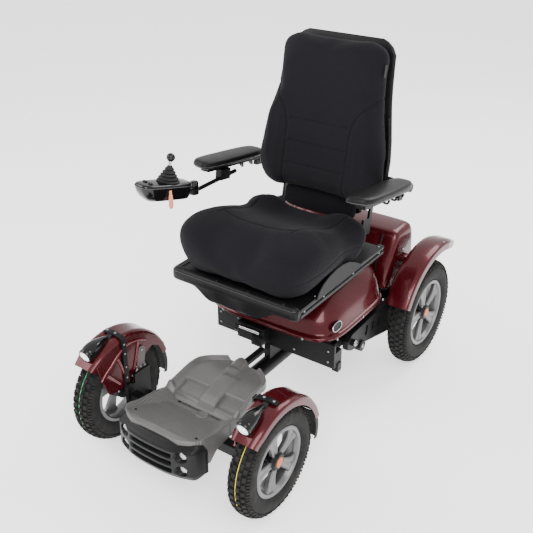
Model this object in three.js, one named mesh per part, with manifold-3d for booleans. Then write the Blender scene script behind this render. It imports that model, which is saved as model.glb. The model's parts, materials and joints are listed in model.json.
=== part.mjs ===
// Power wheelchair, built in millimetres: +X is the user's left, -Y the front, +Z up.
// The origin is on the floor under the middle of the chair's length and width.
import * as THREE from 'three';
import { mergeVertices } from 'three/addons/utils/BufferGeometryUtils.js';
import Module from 'manifold-3d';

const wasm = await Module();
wasm.setup();

// ---- Driving dimensions ----------------------------------------------------------------
const HALF_LENGTH = 671;
const TRACK_HALF = 303;
const FRONT_WHEEL_R = 178;
const REAR_WHEEL_R = 199;
const WHEELBASE = 966;
const TYRE_WIDTH = 82;
const REAR_AXLE_Y = HALF_LENGTH - REAR_WHEEL_R;
const FRONT_AXLE_Y = REAR_AXLE_Y - WHEELBASE;
const GAP = 0.5;

const CHASSIS_FRONT_Y = -88;
const CHASSIS_FLOOR_Z = 240;
const SHROUD_RIM_Z = 322;
const SHROUD_TOP_Z = 452;
const DECK_Z = 320;
const TOWER_TOP_Z = 522;

const BEAM_Z = FRONT_WHEEL_R - 29;
const BEAM_R = 19;
const TIE_ROD_Z = FRONT_WHEEL_R - 58;

const KING_X = 222;
const FLOOR_FRONT_Y = -604;
const FLOOR_CREASE_Y = -446;
const TRAY_REAR_Y = -215;

const BREAKER_AT = [CHASSIS_FRONT_Y - 20, 277];
const SWING_PLATE_XS = [230, 250];
const SWING_PIVOT = [62, 258];
const LIFT_Y = 60;

const RAIL_Z = 520;
const RAIL_X = 232;
const RAIL_FRONT_Y = -252;
const RAIL_REAR_Y = 265;
const CUSHION_BASE_Z = RAIL_Z + 24;

const BACK_PIVOT = new THREE.Vector3(0, 236, 572);
const BACK_RECLINE_DEG = 11;
const ARM_PIVOT_Y = 318;
const ARM_PIVOT_Z = 742;
const ARM_X = 283;
const ARM_TILT_DEG = 8;
const PAD_LENGTH = 335;

const STICK_ARM_X = -268;
const STICK_PIVOT = new THREE.Vector3(STICK_ARM_X, -113, 760);
const STICK_YAW_DEG = 12;
const STICK_PITCH_DEG = 12;
const STICK_REACH = 108;

// ---- Solids ----------------------------------------------------------------------------
const rad = THREE.MathUtils.degToRad;
const vec = (x, y, z) => new THREE.Vector3(x, y, z);
const SIDE = new THREE.Matrix4().makeBasis(vec(0, 1, 0), vec(0, 0, 1), vec(1, 0, 0));
const FRONT = new THREE.Matrix4().makeBasis(vec(1, 0, 0), vec(0, 0, 1), vec(0, -1, 0));

function solid(geometry) {
  const plain = geometry.clone();
  plain.deleteAttribute('normal');
  plain.deleteAttribute('uv');
  const merged = mergeVertices(plain, 1e-4);
  return new wasm.Manifold(new wasm.Mesh({
    numProp: 3,
    vertProperties: new Float32Array(merged.attributes.position.array),
    triVerts: new Uint32Array(merged.index.array),
  }));
}

function geometryOf(body) {
  const mesh = body.getMesh();
  const geometry = new THREE.BufferGeometry();
  geometry.setAttribute('position', new THREE.BufferAttribute(mesh.vertProperties, 3));
  geometry.setIndex(new THREE.BufferAttribute(mesh.triVerts, 1));
  return geometry;
}

const join = (...bodies) => bodies.reduce((all, body) => all.add(body));
const cut = (body, ...tools) => tools.reduce((rest, tool) => rest.subtract(tool), body);

function placed(body, matrix) {
  return solid(geometryOf(body).applyMatrix4(matrix));
}

function mirrored(body) {
  const geometry = geometryOf(body);
  geometry.scale(-1, 1, 1);
  const index = geometry.index.array;
  for (let i = 0; i < index.length; i += 3) {
    [index[i], index[i + 1]] = [index[i + 1], index[i]];
  }
  return solid(geometry);
}

function box(xs, ys, zs) {
  const geometry = new THREE.BoxGeometry(xs[1] - xs[0], ys[1] - ys[0], zs[1] - zs[0]);
  geometry.translate((xs[0] + xs[1]) / 2, (ys[0] + ys[1]) / 2, (zs[0] + zs[1]) / 2);
  return solid(geometry);
}

// A cylinder or cone along one axis, from one end coordinate to the other.
function rod(axis, from, to, centre, radius, endRadius = radius, sides = 14) {
  const geometry = new THREE.CylinderGeometry(endRadius, radius, to - from, sides);
  geometry.translate(0, (from + to) / 2, 0);
  if (axis === 'x') geometry.rotateZ(-Math.PI / 2);
  if (axis === 'z') geometry.rotateX(Math.PI / 2);
  const [a, b] = centre;
  if (axis === 'x') geometry.translate(0, a, b);
  if (axis === 'y') geometry.translate(a, 0, b);
  if (axis === 'z') geometry.translate(a, b, 0);
  return solid(geometry);
}

function outline(points) {
  return new THREE.Shape(points.map(([a, b]) => new THREE.Vector2(a, b)));
}

function roundedOutline(width, height, radius, centreA = 0, centreB = 0) {
  const shape = new THREE.Shape();
  const a = width / 2 - radius;
  const b = height / 2 - radius;
  shape.absarc(centreA + a, centreB + b, radius, 0, Math.PI / 2);
  shape.absarc(centreA - a, centreB + b, radius, Math.PI / 2, Math.PI);
  shape.absarc(centreA - a, centreB - b, radius, Math.PI, 1.5 * Math.PI);
  shape.absarc(centreA + a, centreB - b, radius, 1.5 * Math.PI, 2 * Math.PI);
  return shape;
}

function extruded(shape, depth, matrix, bevel = 0, curveSegments = 4) {
  const geometry = new THREE.ExtrudeGeometry(shape, {
    depth: depth - 2 * bevel,
    bevelEnabled: bevel > 0,
    bevelThickness: bevel,
    bevelSize: bevel,
    bevelOffset: -bevel,
    bevelSegments: 1,
    curveSegments,
  });
  geometry.translate(0, 0, bevel);
  return solid(geometry.applyMatrix4(matrix));
}

// A plate lying in a side view (outline given as y, z) between two x coordinates.
function sidePlate(points, xs, bevel = 0) {
  const matrix = SIDE.clone().setPosition(xs[0], 0, 0);
  return extruded(outline(points), xs[1] - xs[0], matrix, bevel);
}

// A plate lying in a front view (outline given as x, z) between two y coordinates.
function frontPlate(shape, ys, bevel = 0) {
  const matrix = FRONT.clone().setPosition(0, ys[1], 0);
  return extruded(shape, ys[1] - ys[0], matrix, bevel);
}

function flatPlate(shape, zs, bevel = 0) {
  const matrix = new THREE.Matrix4().setPosition(0, 0, zs[0]);
  return extruded(shape, zs[1] - zs[0], matrix, bevel);
}

// A closed skin through rings of equal point count; the caps follow the flat outlines.
function skin(rings, capOutline) {
  const count = rings[0].length;
  const positions = rings.flat().flatMap((p) => [p.x, p.y, p.z]);
  const index = [];
  for (let r = 0; r + 1 < rings.length; r += 1) {
    for (let i = 0; i < count; i += 1) {
      const a = r * count + i;
      const b = r * count + ((i + 1) % count);
      index.push(a, b, b + count, a, b + count, a + count);
    }
  }
  const clockwise = THREE.ShapeUtils.isClockWise(capOutline);
  const caps = THREE.ShapeUtils.triangulateShape(capOutline, []);
  const last = (rings.length - 1) * count;
  for (const cap of caps) {
    const [a, b, c] = clockwise ? [...cap].reverse() : cap;
    index.push(a, c, b);
    index.push(last + a, last + b, last + c);
  }
  const geometry = new THREE.BufferGeometry();
  geometry.setAttribute('position', new THREE.Float32BufferAttribute(positions, 3));
  geometry.setIndex(volumeOf(positions, index) < 0 ? index.reverse() : index);
  return solid(geometry);
}

function volumeOf(positions, index) {
  const at = (i) => vec(positions[3 * i], positions[3 * i + 1], positions[3 * i + 2]);
  let sum = 0;
  for (let i = 0; i < index.length; i += 3) {
    sum += at(index[i]).dot(at(index[i + 1]).cross(at(index[i + 2])));
  }
  return sum;
}

// A tower of rounded rectangles: each level has a height, half width, y range and corner.
function stacked(levels, cornerPoints = 3) {
  const rings = [];
  for (const { z, halfWidth, ys, corner, lean = 0 } of levels) {
    const ring = [];
    const corners = [
      [halfWidth - corner, ys[1] - corner, 0],
      [-halfWidth + corner, ys[1] - corner, 90],
      [-halfWidth + corner, ys[0] + corner, 180],
      [halfWidth - corner, ys[0] + corner, 270],
    ];
    for (const [x, y, start] of corners) {
      for (let k = 0; k <= cornerPoints; k += 1) {
        const angle = rad(start + (90 * k) / cornerPoints);
        const side = y + corner * Math.sin(angle);
        ring.push(vec(x + corner * Math.cos(angle), side, z + lean * (side - ys[0])));
      }
    }
    rings.push(ring);
  }
  const flat = rings[0].map((p) => new THREE.Vector2(p.x, p.y));
  return skin(rings, flat);
}

// A ring turned about an X axis through a hub; the profile is given as x and radius.
function turned(profile, hubY, hubZ, steps = 40) {
  const points = [...profile, profile[0]].map(([x, r]) => new THREE.Vector2(r, x));
  const geometry = new THREE.LatheGeometry(points, steps);
  geometry.rotateZ(-Math.PI / 2);
  geometry.translate(0, hubY, hubZ);
  const body = solid(geometry);
  return body.volume() < 0 ? solid(flipped(geometry)) : body;
}

function flipped(geometry) {
  const copy = mergeVertices(geometry.clone());
  copy.setIndex([...copy.index.array].reverse());
  return copy;
}

// ---- Materials and the finished group --------------------------------------------------
const chair = new THREE.Group();
chair.name = 'power_wheelchair';

const finishes = {
  paint: { color: 0x6e1419, roughness: 0.25, metalness: 0.6 },
  frame: { color: 0x1b1b1d, roughness: 0.5, metalness: 0.4 },
  plastic: { color: 0x2c2c2f, roughness: 0.55, metalness: 0 },
  tray: { color: 0x7d7875, roughness: 0.6, metalness: 0 },
  zinc: { color: 0xaac3cd, roughness: 0.35, metalness: 0.9 },
  rim: { color: 0xa5a3a5, roughness: 0.35, metalness: 0.7 },
  rubber: { color: 0x3a3a3a, roughness: 0.85, metalness: 0 },
  fabric: { color: 0x232126, roughness: 0.95, metalness: 0 },
  lens: { color: 0xf2f5f5, roughness: 0.1, metalness: 0 },
  tag: { color: 0xfaa082, roughness: 0.7, metalness: 0 },
};

function addNode(name, body, finish) {
  const geometry = geometryOf(body);
  geometry.computeVertexNormals();
  const mesh = new THREE.Mesh(geometry, new THREE.MeshStandardMaterial(finishes[finish]));
  mesh.name = name;
  chair.add(mesh);
}

function addPair(name, body, finish) {
  addNode(`${name}_left`, body, finish);
  addNode(`${name}_right`, mirrored(body), finish);
}

// ---- Wheels ----------------------------------------------------------------------------
// Every wheel is made on the user's left and mirrored to the right.
function tyre(radius, beadRadius, hubY) {
  const half = TYRE_WIDTH / 2;
  const shoulder = radius - 16;
  const middle = (beadRadius + shoulder) / 2 + 6;
  const profile = [
    [TRACK_HALF - half + 14, beadRadius],
    [TRACK_HALF - half + 2, beadRadius + 14],
    [TRACK_HALF - half, middle],
    [TRACK_HALF - half + 5, shoulder],
    [TRACK_HALF - half + 20, radius - 4],
    [TRACK_HALF, radius],
    [TRACK_HALF + half - 20, radius - 4],
    [TRACK_HALF + half - 5, shoulder],
    [TRACK_HALF + half, middle],
    [TRACK_HALF + half - 2, beadRadius + 14],
    [TRACK_HALF + half - 14, beadRadius],
  ];
  return turned(profile, hubY, radius, 24);
}

function rim(radius, lipRadius, hubY) {
  const outer = TRACK_HALF + 32;
  const inner = TRACK_HALF - 30;
  const barrel = turned([
    [inner, lipRadius - 14],
    [inner, lipRadius - GAP],
    [outer, lipRadius - GAP],
    [outer, lipRadius - 12],
    [outer - 12, lipRadius - 20],
    [inner + 8, lipRadius - 20],
  ], hubY, radius, 24);
  const hub = rod('x', TRACK_HALF - 26, TRACK_HALF + 30, [hubY, radius], 25, 20, 15);
  const spokeOutline = [
    [-9, 12],
    [9, 12],
    [19, lipRadius - 17],
    [-19, lipRadius - 17],
  ];
  const spokes = [];
  for (let k = 0; k < 5; k += 1) {
    const turn = new THREE.Matrix4().makeRotationX((2 * Math.PI * k) / 5);
    turn.setPosition(0, hubY, radius);
    spokes.push(placed(sidePlate(spokeOutline, [TRACK_HALF + 6, TRACK_HALF + 24]), turn));
  }
  const boreRadius = 9;
  const bore = rod('x', TRACK_HALF - 40, TRACK_HALF + 14, [hubY, radius], boreRadius, boreRadius, 12);
  return cut(join(barrel, hub, ...spokes), bore);
}

function addWheels() {
  addPair('front_tyre', tyre(FRONT_WHEEL_R, 112, FRONT_AXLE_Y), 'rubber');
  addPair('front_rim', rim(FRONT_WHEEL_R, 112, FRONT_AXLE_Y), 'rim');
  addPair('rear_tyre', tyre(REAR_WHEEL_R, 126, REAR_AXLE_Y), 'rubber');
  addPair('rear_rim', rim(REAR_WHEEL_R, 126, REAR_AXLE_Y), 'rim');
}

// The free end of an axle stub, kept clear of the wheel's bore.
function axleStub(fromX, hubY, hubZ) {
  return rod('x', fromX, TRACK_HALF + 8, [hubY, hubZ], 7, 7, 12);
}

// ---- Chassis ---------------------------------------------------------------------------
function chassisFrame() {
  const wall = 5;
  const halfWidth = 205;
  const rear = 330;
  const tub = cut(
    box([-halfWidth, halfWidth], [CHASSIS_FRONT_Y + 8, rear], [CHASSIS_FLOOR_Z, DECK_Z]),
    box([-halfWidth + wall, halfWidth - wall], [CHASSIS_FRONT_Y + 14, rear - wall],
      [CHASSIS_FLOOR_Z + wall, DECK_Z + 1]),
  );
  const frontPlateBody = box([-206, 268], [CHASSIS_FRONT_Y, CHASSIS_FRONT_Y + 8.5],
    [CHASSIS_FLOOR_Z, SHROUD_RIM_Z + 6]);
  const deck = box([-205, 205], [rear - 1, 540], [DECK_Z - 10, DECK_Z]);
  const tail = box([-112, 112], [rear - 1, 400], [CHASSIS_FLOOR_Z + 10, DECK_Z - 5]);
  const sideRail = box([204, 222], [-60, 130], [CHASSIS_FLOOR_Z + 4, CHASSIS_FLOOR_Z + 34]);
  const outrigger = join(
    box([204, 268], [CHASSIS_FRONT_Y + 4, -40], [CHASSIS_FLOOR_Z, CHASSIS_FLOOR_Z + 55]),
    box([250, 272], [CHASSIS_FRONT_Y + 20, -46], [CHASSIS_FLOOR_Z - 22, CHASSIS_FLOOR_Z + 10]),
  );
  return join(tub, frontPlateBody, deck, tail, outrigger, sideRail, mirrored(sideRail));
}

function batteryPack() {
  const body = box([-190, 190], [-50, 300], [CHASSIS_FLOOR_Z + 6, DECK_Z + 62]);
  const split = box([-2, 2], [-60, 310], [CHASSIS_FLOOR_Z + 66, DECK_Z + 70]);
  const columnWell = rod('z', CHASSIS_FLOOR_Z, DECK_Z + 70, [0, LIFT_Y], 60, 60, 24);
  return cut(body, split, columnWell);
}

function bodyShroud() {
  const front = CHASSIS_FRONT_Y;
  const levels = (grow) => [
    { z: SHROUD_RIM_Z, halfWidth: 250 - grow, ys: [front - 18 + grow, 322 - grow], corner: 60 },
    { z: SHROUD_RIM_Z + 14, halfWidth: 256 - grow, ys: [front - 24 + grow, 328 - grow], corner: 64 },
    { z: SHROUD_RIM_Z + 60, halfWidth: 236 - grow, ys: [front - 4 + grow, 328 - grow], corner: 70 },
    { z: SHROUD_TOP_Z - 18 - grow / 2, halfWidth: 205 - grow, ys: [-40 + grow, 322 - grow], corner: 74 },
    { z: SHROUD_TOP_Z - grow, halfWidth: 180 - grow, ys: [-14 + grow, 300 - grow], corner: 70 },
  ];
  const wall = 4;
  const inside = stacked(levels(wall));
  const below = stacked([
    { z: SHROUD_RIM_Z - 10, halfWidth: 246, ys: [CHASSIS_FRONT_Y - 14, 322], corner: 58 },
    { z: SHROUD_RIM_Z + 1, halfWidth: 246, ys: [CHASSIS_FRONT_Y - 14, 322], corner: 58 },
  ]);
  const columnHole = rod('z', SHROUD_TOP_Z - 30, SHROUD_TOP_Z + 10, [0, LIFT_Y], 62, 62, 24);
  const frontNotch = box([-300, 300], [CHASSIS_FRONT_Y - 1, CHASSIS_FRONT_Y + 9.5],
    [SHROUD_RIM_Z - 5, SHROUD_RIM_Z + 7]);
  return cut(stacked(levels(0)), inside, below, columnHole, frontNotch);
}

function towerCover() {
  const levels = (grow) => [
    { z: DECK_Z + GAP, halfWidth: 228 - grow, ys: [334 + grow, 556 - grow], corner: 26 },
    { z: DECK_Z + 90, halfWidth: 228 - grow, ys: [352 + grow, 552 - grow], corner: 26 },
    { z: TOWER_TOP_Z - 26, halfWidth: 226 - grow, ys: [392 + grow, 536 - grow], corner: 26 },
    { z: TOWER_TOP_Z - grow, halfWidth: 206 - grow, ys: [408 + grow, 522 - grow], corner: 24 },
  ];
  const wall = 4;
  const open = box([-201, 201], [338, 530], [DECK_Z - 2, DECK_Z + 10]);
  return cut(stacked(levels(0)), stacked(levels(wall)), open);
}

function liftColumnBase() {
  return cut(
    rod('z', CHASSIS_FLOOR_Z + 5 + GAP, SHROUD_TOP_Z + 14, [0, LIFT_Y], 56, 56, 24),
    rod('z', CHASSIS_FLOOR_Z + 12, SHROUD_TOP_Z + 20, [0, LIFT_Y], 45, 45, 24),
  );
}

function controlModule() {
  const body = box([-92, 14], [CHASSIS_FRONT_Y - 36, CHASSIS_FRONT_Y - GAP], [256, 314]);
  const cover = box([-30, 12], [CHASSIS_FRONT_Y - 44, CHASSIS_FRONT_Y - 35], [250, 284]);
  const bar = rod('x', -78, 4, [CHASSIS_FRONT_Y - 42, 302], 5, 5, 12);
  const posts = [-66, -8].map((x) => box([x - 4, x + 4],
    [CHASSIS_FRONT_Y - 42, CHASSIS_FRONT_Y - 34], [298, 306]));
  const pocket = rod('x', -93, -84, BREAKER_AT, 12.6, 12.6, 20);
  return cut(join(body, cover, bar, ...posts), pocket);
}

function breakerButton() {
  return rod('x', -110, -87, BREAKER_AT, 12, 12, 20);
}

// ---- Rear suspension and drive ---------------------------------------------------------
function swingArm() {
  const [pivotY, pivotZ] = SWING_PIVOT;
  const plate = sidePlate([
    [pivotY - 30, pivotZ - 18],
    [pivotY, pivotZ - 34],
    [pivotY + 90, pivotZ - 48],
    [REAR_AXLE_Y - 120, REAR_WHEEL_R - 40],
    [REAR_AXLE_Y + 10, REAR_WHEEL_R - 58],
    [REAR_AXLE_Y + 58, REAR_WHEEL_R - 20],
    [REAR_AXLE_Y + 50, REAR_WHEEL_R + 48],
    [REAR_AXLE_Y - 90, REAR_WHEEL_R + 92],
    [pivotY + 150, pivotZ + 34],
    [pivotY, pivotZ + 30],
    [pivotY - 30, pivotZ + 14],
  ], SWING_PLATE_XS);
  const holes = [140, 186, 232].map((y, i) => {
    const tilt = new THREE.Matrix4().makeRotationX(rad(-12));
    tilt.setPosition(0, pivotY + y - 40, pivotZ - 4 - 4 * i);
    const across = SIDE.clone().setPosition(SWING_PLATE_XS[0] - 20, 0, 0);
    return placed(extruded(roundedOutline(16, 40, 7.9), 60, across, 0, 2), tilt);
  });
  const pin = rod('x', 224, 262, SWING_PIVOT, 13, 13, 6);
  const bumpStop = rod('x', 228, 258, [pivotY + 62, pivotZ - 46], 20, 20, 12);
  return join(cut(plate, ...holes), pin, bumpStop);
}

function driveMotor() {
  const hub = [REAR_AXLE_Y, REAR_WHEEL_R];
  const gearbox = rod('x', 175, SWING_PLATE_XS[0] - GAP, hub, 62, 62, 28);
  const motor = rod('x', 60, 176, [REAR_AXLE_Y, REAR_WHEEL_R], 46, 46, 24);
  const brake = rod('x', 38, 61, hub, 34, 34, 20);
  return join(gearbox, motor, brake);
}

function armAxle() {
  return join(
    rod('x', SWING_PLATE_XS[1] - 2, 266, [REAR_AXLE_Y, REAR_WHEEL_R], 24, 24, 20),
    axleStub(SWING_PLATE_XS[1] - 2, REAR_AXLE_Y, REAR_WHEEL_R),
  );
}

// ---- Fenders ---------------------------------------------------------------------------
// A crowned strip with turned-down edges, bent round a wheel.
function bentStrip(centreX, halfWidth, wall, edge, stations) {
  const top = [
    [-halfWidth, -edge],
    [-halfWidth, -2],
    [-halfWidth * 0.8, 6],
    [0, 10],
    [halfWidth * 0.8, 6],
    [halfWidth, -2],
    [halfWidth, -edge],
  ];
  const under = [
    [halfWidth - wall, -edge],
    [halfWidth - wall, -3],
    [halfWidth * 0.78 - 1, 6 - wall],
    [0, 10 - wall],
    [-halfWidth * 0.78 + 1, 6 - wall],
    [-halfWidth + wall, -3],
    [-halfWidth + wall, -edge],
  ];
  const profile = [...top, ...under];
  const rings = stations.map(({ y, z, angle }) => profile.map(([a, b]) => vec(
    centreX + a,
    y + b * Math.cos(angle),
    z + b * Math.sin(angle),
  )));
  return skin(rings, profile.map(([a, b]) => new THREE.Vector2(a, b)));
}

function arcStations(hubY, hubZ, fromDeg, toDeg, radiusAt, steps) {
  const stations = [];
  for (let k = 0; k <= steps; k += 1) {
    const t = k / steps;
    const angle = rad(fromDeg + (toDeg - fromDeg) * t);
    const radius = radiusAt(t);
    stations.push({ y: hubY + radius * Math.cos(angle), z: hubZ + radius * Math.sin(angle), angle });
  }
  return stations;
}

function rearFender() {
  const flare = (t) => 226 + 58 * t ** 1.8;
  const stations = arcStations(REAR_AXLE_Y, REAR_WHEEL_R, 151, 50, flare, 9);
  const strip = bentStrip(TRACK_HALF, 44, 3.5, 20, stations);
  const valance = sidePlate([
    [300, 346], [330, 334], [372, 372], [430, 402], [540, 410],
    [572, 432], [500, 442], [420, 430], [350, 400],
  ], [TRACK_HALF - 44 - 5, TRACK_HALF - 44 + 2], 1);
  return join(strip, valance, box([205 + 24, TRACK_HALF - 46], [420, 470], [400, 425]));
}

function frontFender() {
  const stations = arcStations(FRONT_AXLE_Y, FRONT_WHEEL_R, 141, 16, () => 196, 10);
  const strip = bentStrip(TRACK_HALF, 45, 3.5, 16, stations);
  const inner = TRACK_HALF - 45;
  const panel = sidePlate([
    [FRONT_AXLE_Y - 86, FRONT_WHEEL_R + 24],
    [FRONT_AXLE_Y - 44, FRONT_WHEEL_R + 23],
    [FRONT_AXLE_Y + 26, FRONT_WHEEL_R + 23],
    [FRONT_AXLE_Y + 40, FRONT_WHEEL_R + 60],
    [FRONT_AXLE_Y + 120, FRONT_WHEEL_R + 120],
    [FRONT_AXLE_Y + 160, FRONT_WHEEL_R + 90],
    [FRONT_AXLE_Y + 184, FRONT_WHEEL_R + 54],
    [FRONT_AXLE_Y + 170, FRONT_WHEEL_R + 92],
    [FRONT_AXLE_Y + 140, FRONT_WHEEL_R + 134],
    [FRONT_AXLE_Y + 84, FRONT_WHEEL_R + 174],
    [FRONT_AXLE_Y, FRONT_WHEEL_R + 192],
    [FRONT_AXLE_Y - 84, FRONT_WHEEL_R + 174],
    [FRONT_AXLE_Y - 146, FRONT_WHEEL_R + 122],
    [FRONT_AXLE_Y - 120, FRONT_WHEEL_R + 84],
  ], [inner - 1, inner + 3.4]);
  return join(strip, panel);
}

function mudFlap() {
  const stations = arcStations(FRONT_AXLE_Y, FRONT_WHEEL_R, 15.5, -12, (t) => 194 + 8 * t, 5);
  return bentStrip(TRACK_HALF, 40, 3.5, 14, stations);
}

// ---- Front axle, knuckles and steering -------------------------------------------------
function frontAxleBeam() {
  const y = FRONT_AXLE_Y;
  const hubZ = FRONT_WHEEL_R;
  const beam = box([-186, 186], [y - 17, y + 17], [hubZ - 46, hubZ - 12]);
  const socket = box([-36, 36], [y - 24, y + 60], [hubZ - 54, hubZ - 4]);
  const fork = cut(
    box([185, KING_X + 12], [y - 15, y + 15], [hubZ - 62, hubZ + 4]),
    box([200, KING_X + 20], [y - 20, y + 20], [hubZ - 50, hubZ - 10]),
    rod('z', hubZ - 80, hubZ + 20, [KING_X, y], 8, 8, 16),
  );
  const clearBeam = rod('y', y - 30, y + 70, [0, BEAM_Z], BEAM_R + GAP, BEAM_R + GAP, 24);
  return cut(join(beam, socket, fork, mirrored(fork)), clearBeam);
}

function knuckle() {
  const y = FRONT_AXLE_Y;
  const hubZ = FRONT_WHEEL_R;
  const kingpin = rod('z', hubZ - 66, hubZ + 12, [KING_X, y], 7.5, 7.5, 16);
  const boss = rod('z', hubZ - 49, hubZ - 11, [KING_X, y], 15, 15, 20);
  const bridge = box([KING_X, 254], [y - 10, y + 10], [hubZ - 44, hubZ - 16]);
  const upright = box([241, 254], [y - 18, y + 18], [hubZ - 44, hubZ + 30]);
  const spindle = rod('x', 253, 264, [y, hubZ], 20, 20, 20);
  const plate = box([241, 249], [y + 17, y + 86],
    [TIE_ROD_Z + 6.5, hubZ + 60]);
  const steerArm = box([KING_X - 8, 244], [y + 70, y + 86],
    [TIE_ROD_Z + 6.5, TIE_ROD_Z + 15]);
  return join(kingpin, boss, bridge, upright, spindle, plate, steerArm,
    axleStub(253, y, hubZ));
}

function fenderStrap() {
  const hubZ = FRONT_WHEEL_R;
  const upright = box([250, 256.2], [FRONT_AXLE_Y - 16, FRONT_AXLE_Y + 2], [hubZ + 31, hubZ + 206]);
  const foot = box([241.5, 256.2], [FRONT_AXLE_Y - 16, FRONT_AXLE_Y + 2], [hubZ + 30.5, hubZ + 37]);
  const stations = [
    [252, hubZ + 204],
    [262, hubZ + 211.5],
    [TRACK_HALF, hubZ + 216],
    [330, hubZ + 213],
  ];
  const over = frontPlate(outline([
    ...stations,
    ...stations.map(([x, z]) => [x, z - 4.5]).reverse(),
  ]), [FRONT_AXLE_Y - 16, FRONT_AXLE_Y + 2]);
  return join(upright, foot, over);
}

function headlight() {
  const tilt = new THREE.Matrix4().makeRotationX(rad(38));
  tilt.setPosition(TRACK_HALF - 4, FRONT_AXLE_Y - 134, FRONT_WHEEL_R + 188);
  const body = stacked([
    { z: -16, halfWidth: 22, ys: [-8, 84], corner: 14 },
    { z: 6, halfWidth: 25, ys: [-9, 80], corner: 16 },
    { z: 26, halfWidth: 19, ys: [-5, 50], corner: 14 },
  ], 3);
  const socket = rod('y', -20, 6, [0, 5], 17, 17, 20);
  const fender = rod('x', TRACK_HALF - 60, TRACK_HALF + 60, [FRONT_AXLE_Y, FRONT_WHEEL_R], 209, 209, 36);
  return cut(placed(cut(body, socket), tilt), fender);
}

function headlightLens() {
  const tilt = new THREE.Matrix4().makeRotationX(rad(38));
  tilt.setPosition(TRACK_HALF - 4, FRONT_AXLE_Y - 134, FRONT_WHEEL_R + 188);
  return placed(rod('y', -11, 5.5, [0, 5], 13, 16.3, 20), tilt);
}

function tieRod() {
  const y = FRONT_AXLE_Y + 78;
  const bar = rod('x', -KING_X, KING_X, [y, TIE_ROD_Z], 6, 6, 10);
  const eyes = [-1, 1].map((side) => rod('z', TIE_ROD_Z - 6, TIE_ROD_Z + 6, [side * KING_X, y], 9, 9, 12));
  return join(bar, ...eyes);
}

// ---- Beam, footplate and bumper --------------------------------------------------------
function beamTube() {
  return rod('y', FRONT_AXLE_Y - 20, -30, [0, BEAM_Z], BEAM_R - GAP, BEAM_R - GAP, 24);
}

function beamSleeve() {
  const tube = rod('y', -190, 60, [0, BEAM_Z], BEAM_R + 9, BEAM_R + 9, 24);
  const bore = rod('y', -200, 62, [0, BEAM_Z], BEAM_R + 0.2, BEAM_R + 0.2, 24);
  const web = box([-12, 12], [-80, 60], [BEAM_Z + BEAM_R + 4, CHASSIS_FLOOR_Z - GAP]);
  return cut(join(tube, web), bore);
}

function cableDuct() {
  return rod('y', -246, CHASSIS_FRONT_Y - 5, [-12, BEAM_Z + 62], 13, 13, 16);
}

// The tray's side view: a sloping floor, a crease, and a gentle rise to the rear.
function floorHeight(y) {
  const frontZ = 226;
  const creaseZ = 189;
  const rearZ = 242;
  if (y < FLOOR_CREASE_Y) {
    return creaseZ + ((frontZ - creaseZ) * (FLOOR_CREASE_Y - y)) / (FLOOR_CREASE_Y - FLOOR_FRONT_Y);
  }
  const t = (y - FLOOR_CREASE_Y) / (TRAY_REAR_Y - FLOOR_CREASE_Y);
  return creaseZ + (rearZ - creaseZ) * Math.sin(t * Math.PI * 0.5);
}

function trayHalfWidth(y) {
  const t = (y - FLOOR_FRONT_Y) / (TRAY_REAR_Y - FLOOR_FRONT_Y);
  return 152 - 22 * t - 46 * Math.max(0, t - 0.86) / 0.14;
}

function footplateTray() {
  const rows = [
    -626, -612, FLOOR_FRONT_Y, -525, FLOOR_CREASE_Y - 6, FLOOR_CREASE_Y + 8,
    -410, -360, -310, -270, -246, -226, TRAY_REAR_Y,
  ];
  const wall = 5;
  const rings = rows.map((y) => {
    const corner = y < FLOOR_FRONT_Y ? (FLOOR_FRONT_Y - y) * 2.2 : 0;
    const half = trayHalfWidth(y) - corner;
    const floor = floorHeight(Math.max(y, FLOOR_FRONT_Y));
    const lip = y < FLOOR_FRONT_Y ? 0.5 : 14;
    return [
      [-half, floor - 16], [-half, floor + lip], [-half + wall, floor + lip], [-half + wall + 6, floor],
      [half - wall - 6, floor], [half - wall, floor + lip], [half, floor + lip], [half, floor - 16],
      [half - wall, floor - 16], [half - wall - 2, floor - 5],
      [-half + wall + 2, floor - 5], [-half + wall, floor - 16],
    ].map(([x, z]) => vec(x, y, z));
  });
  return skin(rings, rings[3].map((p) => new THREE.Vector2(p.x, p.z)));
}

function bumper() {
  const bow = (x) => -HALF_LENGTH + 34 * (Math.abs(x) / 160) ** 2.4;
  const xs = [-160, -140, -110, -60, 0, 60, 110, 140, 160];
  const rings = xs.map((x) => {
    const face = bow(x);
    const rearY = -606;
    const end = Math.abs(x) > 150 ? 10 : 0;
    return [
      vec(x, rearY, 240 - end), vec(x, face + 24, 240 - end), vec(x, face + 7, 228 - end),
      vec(x, face, 206), vec(x, face + 2, 160), vec(x, face + 14, 142 + end), vec(x, rearY, 138 + end),
    ];
  });
  const block = skin(rings, rings[4].map((p) => new THREE.Vector2(p.y, p.z)));
  const hollow = box([-144, 144], [-634, -600], [130, 222]);
  const under = box([-170, 170], [-627.5, -600], [208, 250]);
  const grooves = [158, 179, 200].map((z) => box([-66, 66], [-690, -661], [z, z + 9]));
  const lampPocket = (side, z) => rod('y', -700, -655, [side * 107, z], 13, 13, 16);
  const lamps = [-1, 1].flatMap((side) => [lampPocket(side, 170), lampPocket(side, 207)]);
  return cut(block, hollow, under, ...grooves, ...lamps);
}

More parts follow.
